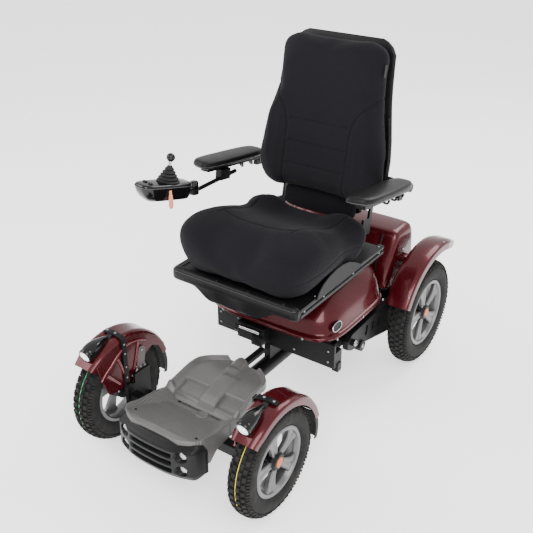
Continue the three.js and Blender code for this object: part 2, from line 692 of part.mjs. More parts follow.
// ---- Seat ------------------------------------------------------------------------------
function liftColumnSlide() {
  const mast = rod('z', CHASSIS_FLOOR_Z + 16, RAIL_Z - 24, [0, LIFT_Y], 42, 42, 24);
  const head = box([-60, 60], [LIFT_Y - 60, LIFT_Y + 60], [RAIL_Z - 34, RAIL_Z - 24]);
  const ears = [-1, 1].map((side) => box([side * 52 - 5, side * 52 + 5], [LIFT_Y - 16, LIFT_Y + 16],
    [RAIL_Z - 26, RAIL_Z + 4]));
  const hole = rod('x', -80, 80, [LIFT_Y, RAIL_Z - 6], 6.4, 6.4, 16);
  return cut(join(mast, head, ...ears), hole);
}

function seatFrame() {
  const rail = (side) => {
    const bar = box([RAIL_X - 10, RAIL_X + 10], [RAIL_FRONT_Y, RAIL_REAR_Y], [RAIL_Z - 16, RAIL_Z + 16]);
    const length = [RAIL_FRONT_Y - 1, RAIL_REAR_Y + 1];
    const groove = box([RAIL_X + 7, RAIL_X + 12], length, [RAIL_Z - 4, RAIL_Z + 4]);
    const body = cut(bar, groove);
    return side > 0 ? body : mirrored(body);
  };
  const between = [-RAIL_X + 9, RAIL_X - 9];
  const pan = box(between, [RAIL_FRONT_Y + 6, RAIL_REAR_Y - 10], [RAIL_Z + 8, RAIL_Z + 14]);
  const rear = box(between, [RAIL_REAR_Y - 30, RAIL_REAR_Y - 6], [RAIL_Z - 10, RAIL_Z + 12]);
  const lugs = [-1, 1].map((side) => box([side * 41 - 5, side * 41 + 5], [LIFT_Y - 14, LIFT_Y + 14],
    [RAIL_Z - 16, RAIL_Z + 10]));
  const pin = rod('x', -59, 59, [LIFT_Y, RAIL_Z - 6], 6, 6, 16);
  const backLugs = [-1, 1].map((side) => sidePlate([
    [BACK_PIVOT.y - 20, RAIL_Z + 6],
    [BACK_PIVOT.y + 22, RAIL_Z + 6],
    [BACK_PIVOT.y + 16, BACK_PIVOT.z + 14],
    [BACK_PIVOT.y - 16, BACK_PIVOT.z + 14],
  ], [side * 160 - 4, side * 160 + 4]));
  const backPin = [-1, 1].map((side) => rod('x', side * 164 - 14, side * 164 + 14,
    [BACK_PIVOT.y, BACK_PIVOT.z], 6, 6, 16));
  return join(rail(1), rail(-1), pan, rear, ...lugs, pin, ...backLugs, ...backPin);
}

function frontTrim() {
  const halfWidth = 241;
  const y = RAIL_FRONT_Y - GAP;
  const bar = extruded(roundedOutline(2 * halfWidth, 46, 14, 0, RAIL_Z + 2), 26,
    FRONT.clone().setPosition(0, y, 0), 3);
  const belly = frontPlate(outline([
    [-165, RAIL_Z - 10], [-120, RAIL_Z - 44], [-70, RAIL_Z - 60], [70, RAIL_Z - 60],
    [120, RAIL_Z - 44], [165, RAIL_Z - 10],
  ]), [y - 18, y + 60], 4);
  const clear = box([-RAIL_X + 8, RAIL_X - 8], [y, y + 80], [RAIL_Z - 17, RAIL_Z + 20]);
  return cut(join(bar, belly), clear);
}

function seatCushion() {
  const z = CUSHION_BASE_Z - 5;
  return stacked([
    { z, halfWidth: 206, ys: [-238, 196], corner: 40 },
    { z: z + 8, halfWidth: 214, ys: [-246, 200], corner: 44 },
    { z: z + 20, halfWidth: 242, ys: [-284, 208], corner: 50, lean: -0.02 },
    { z: z + 98, halfWidth: 248, ys: [-290, 210], corner: 56, lean: -0.08 },
    { z: z + 132, halfWidth: 226, ys: [-268, 196], corner: 56, lean: -0.1 },
    { z: z + 146, halfWidth: 190, ys: [-232, 170], corner: 48, lean: -0.1 },
  ]);
}

// ---- Back ------------------------------------------------------------------------------
const reclined = new THREE.Matrix4().makeRotationX(rad(-BACK_RECLINE_DEG));
reclined.setPosition(BACK_PIVOT);

// Half width of the back at a height above the pivot, waisted towards the top.
const BACK_LEVELS = [
  [98, 172], [122, 206], [160, 228], [200, 236], [270, 236], [345, 226],
  [420, 211], [520, 203], [600, 198], [634, 182], [650, 154],
];

function backSlab(inset, faceY, rearY, roundFace) {
  const rings = BACK_LEVELS.map(([z, half], i) => {
    const w = half - inset;
    const end = i === 0 || i === BACK_LEVELS.length - 1 ? 0.14 * (rearY - faceY) : 0;
    const lift = z + (i === 0 ? inset : 0) - (i === BACK_LEVELS.length - 1 ? inset : 0);
    const face = faceY + end;
    const rear = rearY - end * 0.5;
    const leftHalf = [
      [w - 12, rear], [w, rear - 6], [w, face + roundFace],
      [w - 26, face - roundFace * 0.5], [w * 0.5, face + 8],
    ];
    const rightHalf = leftHalf.map(([x, y]) => [-x, y]).reverse();
    return [...leftHalf, ...rightHalf].map(([x, y]) => vec(x, y, lift));
  });
  return skin(rings, rings[0].map((p) => new THREE.Vector2(p.x, p.y)));
}

function backCushion() {
  return placed(backSlab(0, -90, -2, 26), reclined);
}

function backShell() {
  const slab = backSlab(8, -1, 20, 4);
  const chin = extruded(roundedOutline(300, 70, 14, 0, 92), 16, FRONT.clone().setPosition(0, 18, 0), 2);
  return placed(join(cut(slab, box([-250, 250], [-20, -1], [80, 700])), chin), reclined);
}

function backBracket() {
  const plates = [-1, 1].map((side) => cut(
    join(
      box([side * 174 - 4, side * 174 + 4], [-16, 16], [-16, 10]),
      box([side * 174 - 4, side * 174 + 4], [-16, 40], [-6, 250]),
    ),
    box([side * 174 - 6, side * 174 + 6], [-20, 21], [52, 260]),
    rod('x', -200, 200, [0, 0], 6.4, 6.4, 16),
  ));
  const spreader = box([-236, 236], [21, 33], [168, 206]);
  const ears = [-1, 1].map((side) => box([side * 230 - 6, side * 230 + 6], [21, 60], [168, 198]));
  const armPins = [-1, 1].map((side) => rod('x', side * 254 - 20, side * 254 + 20,
    [ARM_PIVOT_Y, ARM_PIVOT_Z], 6, 6, 16));
  return join(placed(join(...plates, spreader, ...ears), reclined), ...armPins);
}

// ---- Armrests --------------------------------------------------------------------------
// Both armrests rise towards the front, turned about their rear pins.
const aboutArmPins = new THREE.Matrix4().makeTranslation(0, ARM_PIVOT_Y, ARM_PIVOT_Z);
aboutArmPins.multiply(new THREE.Matrix4().makeRotationX(rad(-ARM_TILT_DEG)));
aboutArmPins.multiply(new THREE.Matrix4().makeTranslation(0, -ARM_PIVOT_Y, -ARM_PIVOT_Z));

function armrestArm(side) {
  const shift = side > 0 ? 40 : 0;
  const lengthwise = [-40 + shift, ARM_PIVOT_Y + 4];
  const bar = box([ARM_X - 16, ARM_X + 16], lengthwise, [ARM_PIVOT_Z - 9, ARM_PIVOT_Z + 7]);
  const knuckleEnd = rod('x', ARM_X - 22, ARM_X + 16, [ARM_PIVOT_Y, ARM_PIVOT_Z], 15, 15, 20);
  const bore = rod('x', ARM_X - 30, ARM_X - 4, [ARM_PIVOT_Y, ARM_PIVOT_Z], 6.4, 6.4, 16);
  const hook = box([ARM_X - 8, ARM_X + 8], [ARM_PIVOT_Y - 66, ARM_PIVOT_Y - 40],
    [ARM_PIVOT_Z - 34, ARM_PIVOT_Z - 5]);
  const body = placed(cut(join(bar, knuckleEnd, hook), bore), aboutArmPins);
  return side > 0 ? body : mirrored(body);
}

function armPad(side) {
  const shift = side > 0 ? 40 : 0;
  const frontY = -78 + shift;
  const shape = new THREE.Shape();
  const w = 45;
  shape.moveTo(ARM_X - w, frontY + 34);
  shape.quadraticCurveTo(ARM_X - w + 4, frontY, ARM_X - w + 30, frontY);
  shape.lineTo(ARM_X + w - 30, frontY + 8);
  shape.quadraticCurveTo(ARM_X + w, frontY + 14, ARM_X + w, frontY + 44);
  shape.lineTo(ARM_X + w - 4, frontY + PAD_LENGTH - 30);
  shape.quadraticCurveTo(ARM_X + w - 6, frontY + PAD_LENGTH, ARM_X + w - 34, frontY + PAD_LENGTH);
  shape.lineTo(ARM_X - w + 24, frontY + PAD_LENGTH);
  shape.quadraticCurveTo(ARM_X - w, frontY + PAD_LENGTH, ARM_X - w, frontY + PAD_LENGTH - 24);
  const pad = flatPlate(shape, [ARM_PIVOT_Z + 7 + GAP, ARM_PIVOT_Z + 35], 5);
  const body = placed(pad, aboutArmPins);
  return side > 0 ? body : mirrored(body);
}

// ---- Joystick --------------------------------------------------------------------------
const stickFrame = new THREE.Matrix4().makeRotationZ(rad(-STICK_YAW_DEG));
stickFrame.multiply(new THREE.Matrix4().makeRotationX(rad(-STICK_PITCH_DEG)));
stickFrame.setPosition(STICK_PIVOT);

function joystickArm() {
  const bar = rod('y', STICK_PIVOT.y + 14, 110, [STICK_ARM_X, STICK_PIVOT.z - 18], 7, 7, 16);
  const clamp = placed(box([STICK_ARM_X - 14, STICK_ARM_X + 10], [20, 70],
    [ARM_PIVOT_Z - 46, ARM_PIVOT_Z - 9 - GAP]), aboutArmPins);
  const eye = cut(
    rod('z', STICK_PIVOT.z - 26, STICK_PIVOT.z - 6, [STICK_PIVOT.x, STICK_PIVOT.y], 16, 16, 24),
    rod('z', STICK_PIVOT.z - 30, STICK_PIVOT.z, [STICK_PIVOT.x, STICK_PIVOT.y], 6.3, 6.3, 16),
  );
  return join(bar, clamp, eye);
}

function joystickHousing() {
  const hinge = join(
    rod('z', STICK_PIVOT.z - 30, STICK_PIVOT.z, [STICK_PIVOT.x, STICK_PIVOT.y], 6, 6, 16),
    rod('z', STICK_PIVOT.z - 5.5, STICK_PIVOT.z + 16, [STICK_PIVOT.x, STICK_PIVOT.y], 15, 15, 20),
  );
  const body = stacked([
    { z: -32, halfWidth: 31, ys: [-192, -30], corner: 14 },
    { z: -8, halfWidth: 38, ys: [-214, -26], corner: 20 },
    { z: 16, halfWidth: 39, ys: [-222, -26], corner: 22 },
    { z: 22, halfWidth: 35, ys: [-216, -30], corner: 20 },
  ], 3);
  const lug = box([-13, 13], [-40, -2], [-3, 14]);
  const well = rod('z', -14, 30, [0, -STICK_REACH], 27, 27, 24);
  const pockets = [
    flatPlate(roundedOutline(16, 11, 3, -14, -186), [17, 30]),
    flatPlate(roundedOutline(16, 11, 3, 14, -186), [17, 30]),
  ];
  const pinHoles = rod('x', -32, 32, [-STICK_REACH, 2], 3.3, 3.3, 12);
  return join(hinge, placed(cut(join(body, lug), well, ...pockets, pinHoles), stickFrame));
}

function gimbalYoke() {
  const ring = cut(
    rod('z', -6, 9, [0, -STICK_REACH], 22, 22, 24),
    rod('z', -8, 12, [0, -STICK_REACH], 15, 15, 24),
    rod('y', -STICK_REACH - 30, -STICK_REACH + 30, [0, 2], 3.3, 3.3, 12),
  );
  const pins = [-1, 1].map((side) => rod('x', side * 26 - 5, side * 26 + 5, [-STICK_REACH, 2], 3, 3, 12));
  return placed(join(ring, ...pins), stickFrame);
}

function joystickStick() {
  const block = rod('z', -8, 14, [0, -STICK_REACH], 9, 7, 16);
  const pin = rod('y', -STICK_REACH - 19, -STICK_REACH + 19, [0, 2], 3, 3, 12);
  const stem = rod('z', 13, 92, [0, -STICK_REACH], 4, 4, 16);
  const knob = new THREE.SphereGeometry(14, 10, 7);
  const ball = solid(knob.rotateX(Math.PI / 2).translate(0, -STICK_REACH, 100));
  return placed(join(block, pin, stem, ball), stickFrame);
}

function stickGaiter() {
  const folds = [[22.6, 33], [31, 34], [37, 29], [43, 29], [49, 23], [55, 22], [62, 15], [74, 9]];
  const wall = 2.5;
  const outer = folds.map(([z, r]) => new THREE.Vector2(r, z));
  const inner = folds.map(([z, r]) => new THREE.Vector2(r - wall, z)).reverse();
  const geometry = new THREE.LatheGeometry([...outer, ...inner, outer[0]], 14);
  geometry.rotateX(Math.PI / 2);
  geometry.translate(0, -STICK_REACH, 0);
  const body = solid(geometry);
  return placed(body.volume() < 0 ? solid(flipped(geometry)) : body, stickFrame);
}

function rockerButton(x) {
  return placed(flatPlate(roundedOutline(15, 10, 2.6, x, -186), [19, 26]), stickFrame);
}

function keyTag() {
  const hung = new THREE.Matrix4().makeRotationZ(rad(-STICK_YAW_DEG));
  hung.setPosition(vec(41, -128, 2).applyMatrix4(stickFrame));
  return placed(sidePlate([[-7, -58], [7, -58], [9, -44], [5, 4], [-5, 4], [-9, -44]], [0.5, 3.5]), hung);
}

// ---- The whole chair -------------------------------------------------------------------
function addChassis() {
  addNode('chassis_frame', chassisFrame(), 'frame');
  addNode('battery_pack', batteryPack(), 'plastic');
  addNode('body_shroud', bodyShroud(), 'paint');
  addNode('tower_cover', towerCover(), 'paint');
  addPair('rear_fender', rearFender(), 'paint');
  addNode('control_module', controlModule(), 'plastic');
  addNode('breaker_button', breakerButton(), 'plastic');
  addNode('beam_sleeve', beamSleeve(), 'frame');
  addNode('lift_column_base', liftColumnBase(), 'frame');
}

function addRearDrive() {
  addPair('swing_arm', join(swingArm(), armAxle()), 'frame');
  addPair('drive_motor', driveMotor(), 'frame');
}

function addFrontFrame() {
  addNode('beam_tube', beamTube(), 'zinc');
  addNode('cable_duct', cableDuct(), 'plastic');
  addNode('front_axle_beam', frontAxleBeam(), 'frame');
  addNode('footplate_tray', footplateTray(), 'tray');
  addNode('front_bumper', bumper(), 'plastic');
}

function addSteering() {
  addPair('knuckle', knuckle(), 'frame');
  addPair('fender_strap', fenderStrap(), 'plastic');
  addPair('front_fender', frontFender(), 'paint');
  addPair('mud_flap', mudFlap(), 'rubber');
  addPair('headlight', headlight(), 'plastic');
  addPair('headlight_lens', headlightLens(), 'lens');
  addNode('tie_rod', tieRod(), 'frame');
}

function addSeat() {
  addNode('lift_column_slide', liftColumnSlide(), 'zinc');
  addNode('seat_frame', seatFrame(), 'frame');
  addNode('front_trim', frontTrim(), 'plastic');
  addNode('seat_cushion', seatCushion(), 'fabric');
  addNode('back_bracket', backBracket(), 'frame');
  addNode('back_shell', backShell(), 'plastic');
  addNode('back_cushion', backCushion(), 'fabric');
}

function addArms() {
  addNode('armrest_arm_left', armrestArm(1), 'frame');
  addNode('armrest_arm_right', armrestArm(-1), 'frame');
  addNode('arm_pad_left', armPad(1), 'plastic');
  addNode('arm_pad_right', armPad(-1), 'plastic');
}

function addJoystick() {
  addNode('joystick_arm', joystickArm(), 'frame');
  addNode('joystick_housing', joystickHousing(), 'plastic');
  addNode('gimbal_yoke', gimbalYoke(), 'frame');
  addNode('joystick_stick', joystickStick(), 'frame');
  addNode('stick_gaiter', stickGaiter(), 'rubber');
  addNode('speed_button', rockerButton(-14), 'plastic');
  addNode('horn_button', rockerButton(14), 'plastic');
  addNode('key_tag', keyTag(), 'tag');
}

addChassis();
addRearDrive();
addWheels();
addFrontFrame();
addSteering();
addSeat();
addArms();
addJoystick();

export default chair;
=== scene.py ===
"""Looks of the power wheelchair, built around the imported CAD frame.

Metres, +X is the user's left, -Y the front, +Z up. Sizes come from the CAD nodes' boxes where a
piece has to fit one, and from the named values below elsewhere.
"""

import json
from math import copysign, cos, exp, hypot, pi, radians, sin

import bmesh
import bpy
import numpy as np
from mathutils import Matrix, Vector


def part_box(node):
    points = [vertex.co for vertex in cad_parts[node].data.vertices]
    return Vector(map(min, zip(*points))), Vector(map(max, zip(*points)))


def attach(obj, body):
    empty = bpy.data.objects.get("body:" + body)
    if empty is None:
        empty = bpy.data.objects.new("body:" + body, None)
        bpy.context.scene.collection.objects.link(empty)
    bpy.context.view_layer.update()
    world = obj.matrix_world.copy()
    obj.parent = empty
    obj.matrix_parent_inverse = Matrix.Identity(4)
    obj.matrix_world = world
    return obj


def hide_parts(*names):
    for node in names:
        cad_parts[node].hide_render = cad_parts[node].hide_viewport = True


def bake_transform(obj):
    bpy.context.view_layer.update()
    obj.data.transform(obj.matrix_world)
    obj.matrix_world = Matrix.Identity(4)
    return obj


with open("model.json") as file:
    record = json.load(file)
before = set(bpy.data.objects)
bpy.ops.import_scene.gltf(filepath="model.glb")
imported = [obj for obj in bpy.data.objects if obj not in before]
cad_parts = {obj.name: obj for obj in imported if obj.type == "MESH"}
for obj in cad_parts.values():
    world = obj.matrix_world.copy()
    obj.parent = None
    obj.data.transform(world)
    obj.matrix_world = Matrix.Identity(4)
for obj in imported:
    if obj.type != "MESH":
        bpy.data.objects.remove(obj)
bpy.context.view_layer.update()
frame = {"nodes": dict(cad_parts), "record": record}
NODES = frame["nodes"]

SIDES = {"left": 1, "right": -1}
QUARTER = pi / 2
AXIS_RADIUS = 1e-5
WELD = 2e-6
SPOKES = 5
SPOKE_START = 0.3
BACK_PIVOT = Vector((0, 0.236, 0.572))
BACK_RECLINE = radians(11)
ARM_PIVOT = Vector((0, 0.318, 0.742))
ARM_TILT = radians(8)
ARM_X = 0.283
PAD_HALF = 0.045
PAD_LENGTH = 0.335
PAD_BASE = 0.0075
PAD_FRONTS = {"left": -0.038, "right": -0.078}
RAIL_X = 0.232
RAIL_TOP = 0.536
# Heights of the light lines along each seat rail's two grooves: painted highlights.
RAIL_GROOVE_HIGHLIGHTS = (0.5285, 0.5115)
RAIL_REAR = 0.262
PLATE_FRONT = -0.0885
LAMP_RISE = radians(-16)
LAMP_TILT = radians(22)
TRIM_HALF = 0.241
TRIM_BACK = -0.2525
TRIM_TURN = 0.93
COLUMN_Y = 0.06
COLUMN_HOLE = 0.062
SHROUD_WALL = 0.0035
SHROUD_POINTS = 96
STICK_ORIGIN = Vector((-0.268, -0.113, 0.76))
STICK_YAW = radians(12)
STICK_PITCH = radians(12)
STICK_REACH = 0.108
CLOTH_FRAMES = 20
CLOTH_PRESSURE = 4.0
CLOTH_VOXEL = 0.006
CREASE_SMOOTHING = 48
BAND_FADE = 0.004


# ---- Small helpers ----------------------------------------------------------------------
def middle(node):
    low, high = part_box(node)
    return (low + high) / 2


def ease(low, high, value):
    """0 up to low, 1 from high on, and a smooth rise between them."""
    t = min(max((value - low) / (high - low), 0.0), 1.0)
    return t * t * (3 - 2 * t)


def bell(value, centre, width):
    """A bell-shaped bump, 1 at its centre."""
    return exp(-((value - centre) / width) ** 2)


def move(x, y, z):
    return Matrix.Translation((x, y, z))


def spin(angle, axis):
    return Matrix.Rotation(angle, 4, axis)


def side_plane(x=0.0, facing=1):
    """Takes an outline of (y, z) points to a plane at x, with its depth along X."""
    return Matrix(((0, 0, facing, x), (1, 0, 0, 0), (0, 1, 0, 0), (0, 0, 0, 1)))


def front_plane(y=0.0, facing=1):
    """Takes an outline of (x, z) points to a plane at y, with its depth along Y."""
    return Matrix(((1, 0, 0, 0), (0, 0, facing, y), (0, 1, 0, 0), (0, 0, 0, 1)))


def circle(radius, count):
    """Points of a circle, anticlockwise."""
    angles = [2 * pi * k / count for k in range(count)]
    return [(radius * cos(a), radius * sin(a)) for a in angles]


def superellipse(half_a, half_b, power, count):
    """Points of a rounded rectangle, anticlockwise."""
    return [(half_a * copysign(abs(c) ** (2 / power), c), half_b * copysign(abs(s) ** (2 / power), s))
            for c, s in circle(1, count)]


def spline(points, steps):
    """A smooth curve through points, with so many steps between neighbours."""
    path = [Vector(p) for p in points]
    ends = [2 * path[0] - path[1], *path, 2 * path[-1] - path[-2]]
    curve = []
    for before, a, b, after in zip(ends, ends[1:], ends[2:], ends[3:]):
        for k in range(steps):
            t = k / steps
            curve.append(0.5 * (2 * a + (b - before) * t
                                + (2 * before - 5 * a + 4 * b - after) * t ** 2
                                + (3 * a - before - 3 * b + after) * t ** 3))
    return [*curve, path[-1]]


# ---- Mesh building ----------------------------------------------------------------------
def object_of(name, verts, faces):
    """A mesh object from points and faces, linked to the scene."""
    mesh = bpy.data.meshes.new(name)
    mesh.from_pydata([tuple(v) for v in verts], [], faces)
    obj = bpy.data.objects.new(name, mesh)
    bpy.context.scene.collection.objects.link(obj)
    return obj


class Builder:
    """Collects solids into one mesh, each with a material index."""

    def __init__(self):
        self.verts = []
        self.faces = []
        self.looks = []

    def add(self, verts, faces, look=0):
        base = len(self.verts)
        self.verts += [Vector(v) for v in verts]
        self.faces += [[base + i for i in face] for face in faces]
        self.looks += [look] * len(faces)

    def loft(self, rings, caps=True, look=0):
        count = len(rings[0])
        faces = []
        for r in range(len(rings) - 1):
            for i in range(count):
                j = (i + 1) % count
                faces.append([r * count + i, r * count + j, (r + 1) * count + j, (r + 1) * count + i])
        if caps:
            faces.append(list(range(count))[::-1])
            faces.append([(len(rings) - 1) * count + i for i in range(count)])
        self.add([p for ring in rings for p in ring], faces, look)

    def lathe(self, profile, matrix, steps=48, look=0):
        """A closed profile of (along, radius) points turned about the matrix's X axis."""
        rings = [[matrix @ Vector((a, r * c, r * s)) for a, r in profile] for c, s in circle(1, steps)]
        self.loft([*rings, rings[0]], caps=False, look=look)

    def disc(self, profile, matrix, steps=32, look=0):
        """A solid of revolution about the matrix's X axis, closed flat at an end with a radius."""
        start = [(profile[0][0], 0)] if profile[0][1] else []
        end = [(profile[-1][0], 0)] if profile[-1][1] else []
        rings = [[matrix @ Vector((a, y, z)) for y, z in circle(max(r, AXIS_RADIUS), steps)]
                 for a, r in [*start, *profile, *end]]
        self.loft(rings, look=look)

    def tube(self, points, radius, sides=12, look=0):
        path = [Vector(p) for p in points]
        normal = None
        rings = []
        for i, p in enumerate(path):
            ahead = (path[min(i + 1, len(path) - 1)] - path[max(i - 1, 0)]).normalized()
            if normal is None:
                normal = ahead.orthogonal().normalized()
            normal = (normal - ahead * normal.dot(ahead)).normalized()
            side = ahead.cross(normal)
            rings.append([p + normal * a + side * b for a, b in circle(radius, sides)])
        self.loft(rings, look=look)

    def hoop(self, points, radius, look=0):
        """A thin tube that ends where it starts."""
        self.tube([*points, points[0]], radius, 8, look)

    def prism(self, outline, matrix, depth, look=0, chamfer=0.0):
        """An outline in the matrix's XY plane pushed along its Z, with chamfered ends."""
        centre = Vector((sum(p[0] for p in outline), sum(p[1] for p in outline), 0)) / len(outline)
        rings = []
        for z, inset in ((0, chamfer), (chamfer, 0), (depth - chamfer, 0), (depth, chamfer)):
            ring = []
            for p in outline:
                flat = Vector((p[0], p[1], 0))
                inward = (centre - flat).normalized() * inset
                ring.append(matrix @ (flat + inward + Vector((0, 0, z))))
            rings.append(ring)
        self.loft(rings, look=look)

    def bolt(self, centre, direction, radius, look=0):
        """A domed screw head with a hexagon socket, facing along direction."""
        turn = Vector((1, 0, 0)).rotation_difference(Vector(direction)).to_matrix().to_4x4()
        height = radius * 0.7
        socket = radius * 0.45
        self.disc([(-height * 0.3, radius), (height * 0.35, radius), (height * 0.8, radius * 0.75),
                   (height, socket * 1.15), (height * 0.5, socket)], move(*centre) @ turn, 12, look)

    def build(self, name, body, looks, sharp_degrees=38, replaces=()):
        """Makes the object: welded, smooth up to sharp_degrees, and riding on its body."""
        obj = object_of(name, self.verts, self.faces)
        mesh = obj.data
        for look in looks:
            mesh.materials.append(LOOKS[look])
        mesh.polygons.foreach_set("material_index", self.looks)
        bm = bmesh.new()
        bm.from_mesh(mesh)
        bmesh.ops.remove_doubles(bm, verts=bm.verts, dist=WELD)
        bmesh.ops.recalc_face_normals(bm, faces=bm.faces)
        limit = radians(sharp_degrees)
        for face in bm.faces:
            face.smooth = True
        for edge in bm.edges:
            edge.smooth = len(edge.link_faces) == 2 and edge.calc_face_angle() < limit
        bm.to_mesh(mesh)
        bm.free()
        if body:
            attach(obj, body)
        if replaces:
            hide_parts(*replaces)
        return obj


# ---- Materials --------------------------------------------------------------------------
def set_inputs(made, inputs):
    """Gives each input of a node its value, or the socket that drives it."""
    for key, value in inputs.items():
        if isinstance(value, bpy.types.NodeSocket):
            made.id_data.links.new(value, made.inputs[key])
        else:
            made.inputs[key].default_value = value


def node(tree, kind, inputs, **settings):
    made = tree.nodes.new(kind)
    for key, value in settings.items():
        setattr(made, key, value)
    set_inputs(made, inputs)
    return made


def calculate(tree, operation, *values):
    return node(tree, "ShaderNodeMath", dict(enumerate(values)), operation=operation).outputs[0]


def map_range(tree, value, to_min=0.0, to_max=1.0, from_min=0.0, from_max=1.0, **settings):
    inputs = {"Value": value, "From Min": from_min, "From Max": from_max, "To Min": to_min, "To Max": to_max}
    return node(tree, "ShaderNodeMapRange", inputs, **settings).outputs["Result"]


def mix(tree, factor, a, b):
    inputs = {"Factor": factor, "A": a, "B": b}
    return node(tree, "ShaderNodeMix", inputs, data_type="RGBA").outputs["Result"]


def shade(colour, factor):
    return (*[min(max(c * factor, 0.0), 1.0) for c in colour], 1.0)


def principled(material):
    return material.node_tree.nodes["Principled BSDF"]


def surface(name, colour, roughness, *, metallic=0.0, coat=0.0, sheen=0.0, specular=0.5,
            grain=1500.0, bump=0.1, depth=0.0002, blotch=0.12, blotch_scale=14.0,
            rough_spread=0.08, edge=0.0, dust=None):
    """Base colour and roughness drift with a slow noise, and a fine one makes a grain of bumps."""
    material = bpy.data.materials.new(name)
    material.use_nodes = True
    tree = material.node_tree
    where = node(tree, "ShaderNodeTexCoord", {}).outputs["Object"]
    noises = [{"Vector": where, "Scale": blotch_scale, "Detail": 6.0},
              {"Vector": where, "Scale": grain, "Detail": 3.0}]
    slow, fine = [node(tree, "ShaderNodeTexNoise", noise).outputs["Fac"] for noise in noises]
    base = mix(tree, slow, shade(colour, 1 - blotch), shade(colour, 1 + blotch))
    if dust:
        tone, amount = dust
        dusty = map_range(tree, slow, to_max=amount, from_min=0.45, from_max=0.75)
        base = mix(tree, dusty, base, (*tone, 1.0))
    relief = node(tree, "ShaderNodeBump", {"Strength": bump, "Distance": depth, "Height": fine})
    if edge:
        rounded = node(tree, "ShaderNodeBevel", {"Radius": edge}, samples=4)
        set_inputs(relief, {"Normal": rounded.outputs["Normal"]})
    polish = map_range(tree, slow, max(roughness - rough_spread, 0.02), roughness + rough_spread)
    set_inputs(principled(material), {
        "Base Color": base, "Roughness": polish, "Normal": relief.outputs["Normal"],
        "Metallic": metallic, "Specular IOR Level": specular, "Coat Weight": coat,
        "Coat Roughness": 0.05, "Sheen Weight": sheen, "Sheen Roughness": 0.45})
    return material


def add_bands(material, axis, pitch, depth, reach=None):
    """Adds fine parallel ridges across one axis to a material's relief, over a reach of Y if given."""
    tree = material.node_tree
    relief, where = [next(n for n in tree.nodes if n.type == kind) for kind in ("BUMP", "TEX_COORD")]
    apart = node(tree, "ShaderNodeSeparateXYZ", {"Vector": where.outputs["Object"]})
    turns = calculate(tree, "MULTIPLY", apart.outputs[axis], 2 * pi / pitch)
    height = calculate(tree, "SINE", turns)
    if reach:
        low, high = reach
        for start, end, before, after in ((low, low + BAND_FADE, 0, 1), (high - BAND_FADE, high, 1, 0)):
            fade = map_range(tree, apart.outputs["Y"], before, after, start, end,
                             interpolation_type="SMOOTHSTEP")
            height = calculate(tree, "MULTIPLY", fade, height)
    ridges = node(tree, "ShaderNodeBump", {"Strength": 1.0, "Distance": depth, "Height": height})
    set_inputs(relief, {"Normal": ridges.outputs["Normal"]})


def make_weave(name, colour):
    """Knitted cover: fine bands in the object's own axes, with a soft sheen."""
    material = surface(name, colour, 0.9, sheen=0.03, specular=0.12, grain=2600, bump=0.35,
                       depth=0.0004, blotch=0.22, blotch_scale=9, rough_spread=0.05)
    add_bands(material, "X", 0.0034, 0.00022)
    return material


def make_lens(name):
    material = surface(name, (0.86, 0.9, 0.92), 0.12, coat=0.3, grain=400, bump=0.05, blotch=0.05)
    set_inputs(principled(material), {"Emission Color": (0.9, 0.97, 1.0, 1.0), "Emission Strength": 0.8})
    return material


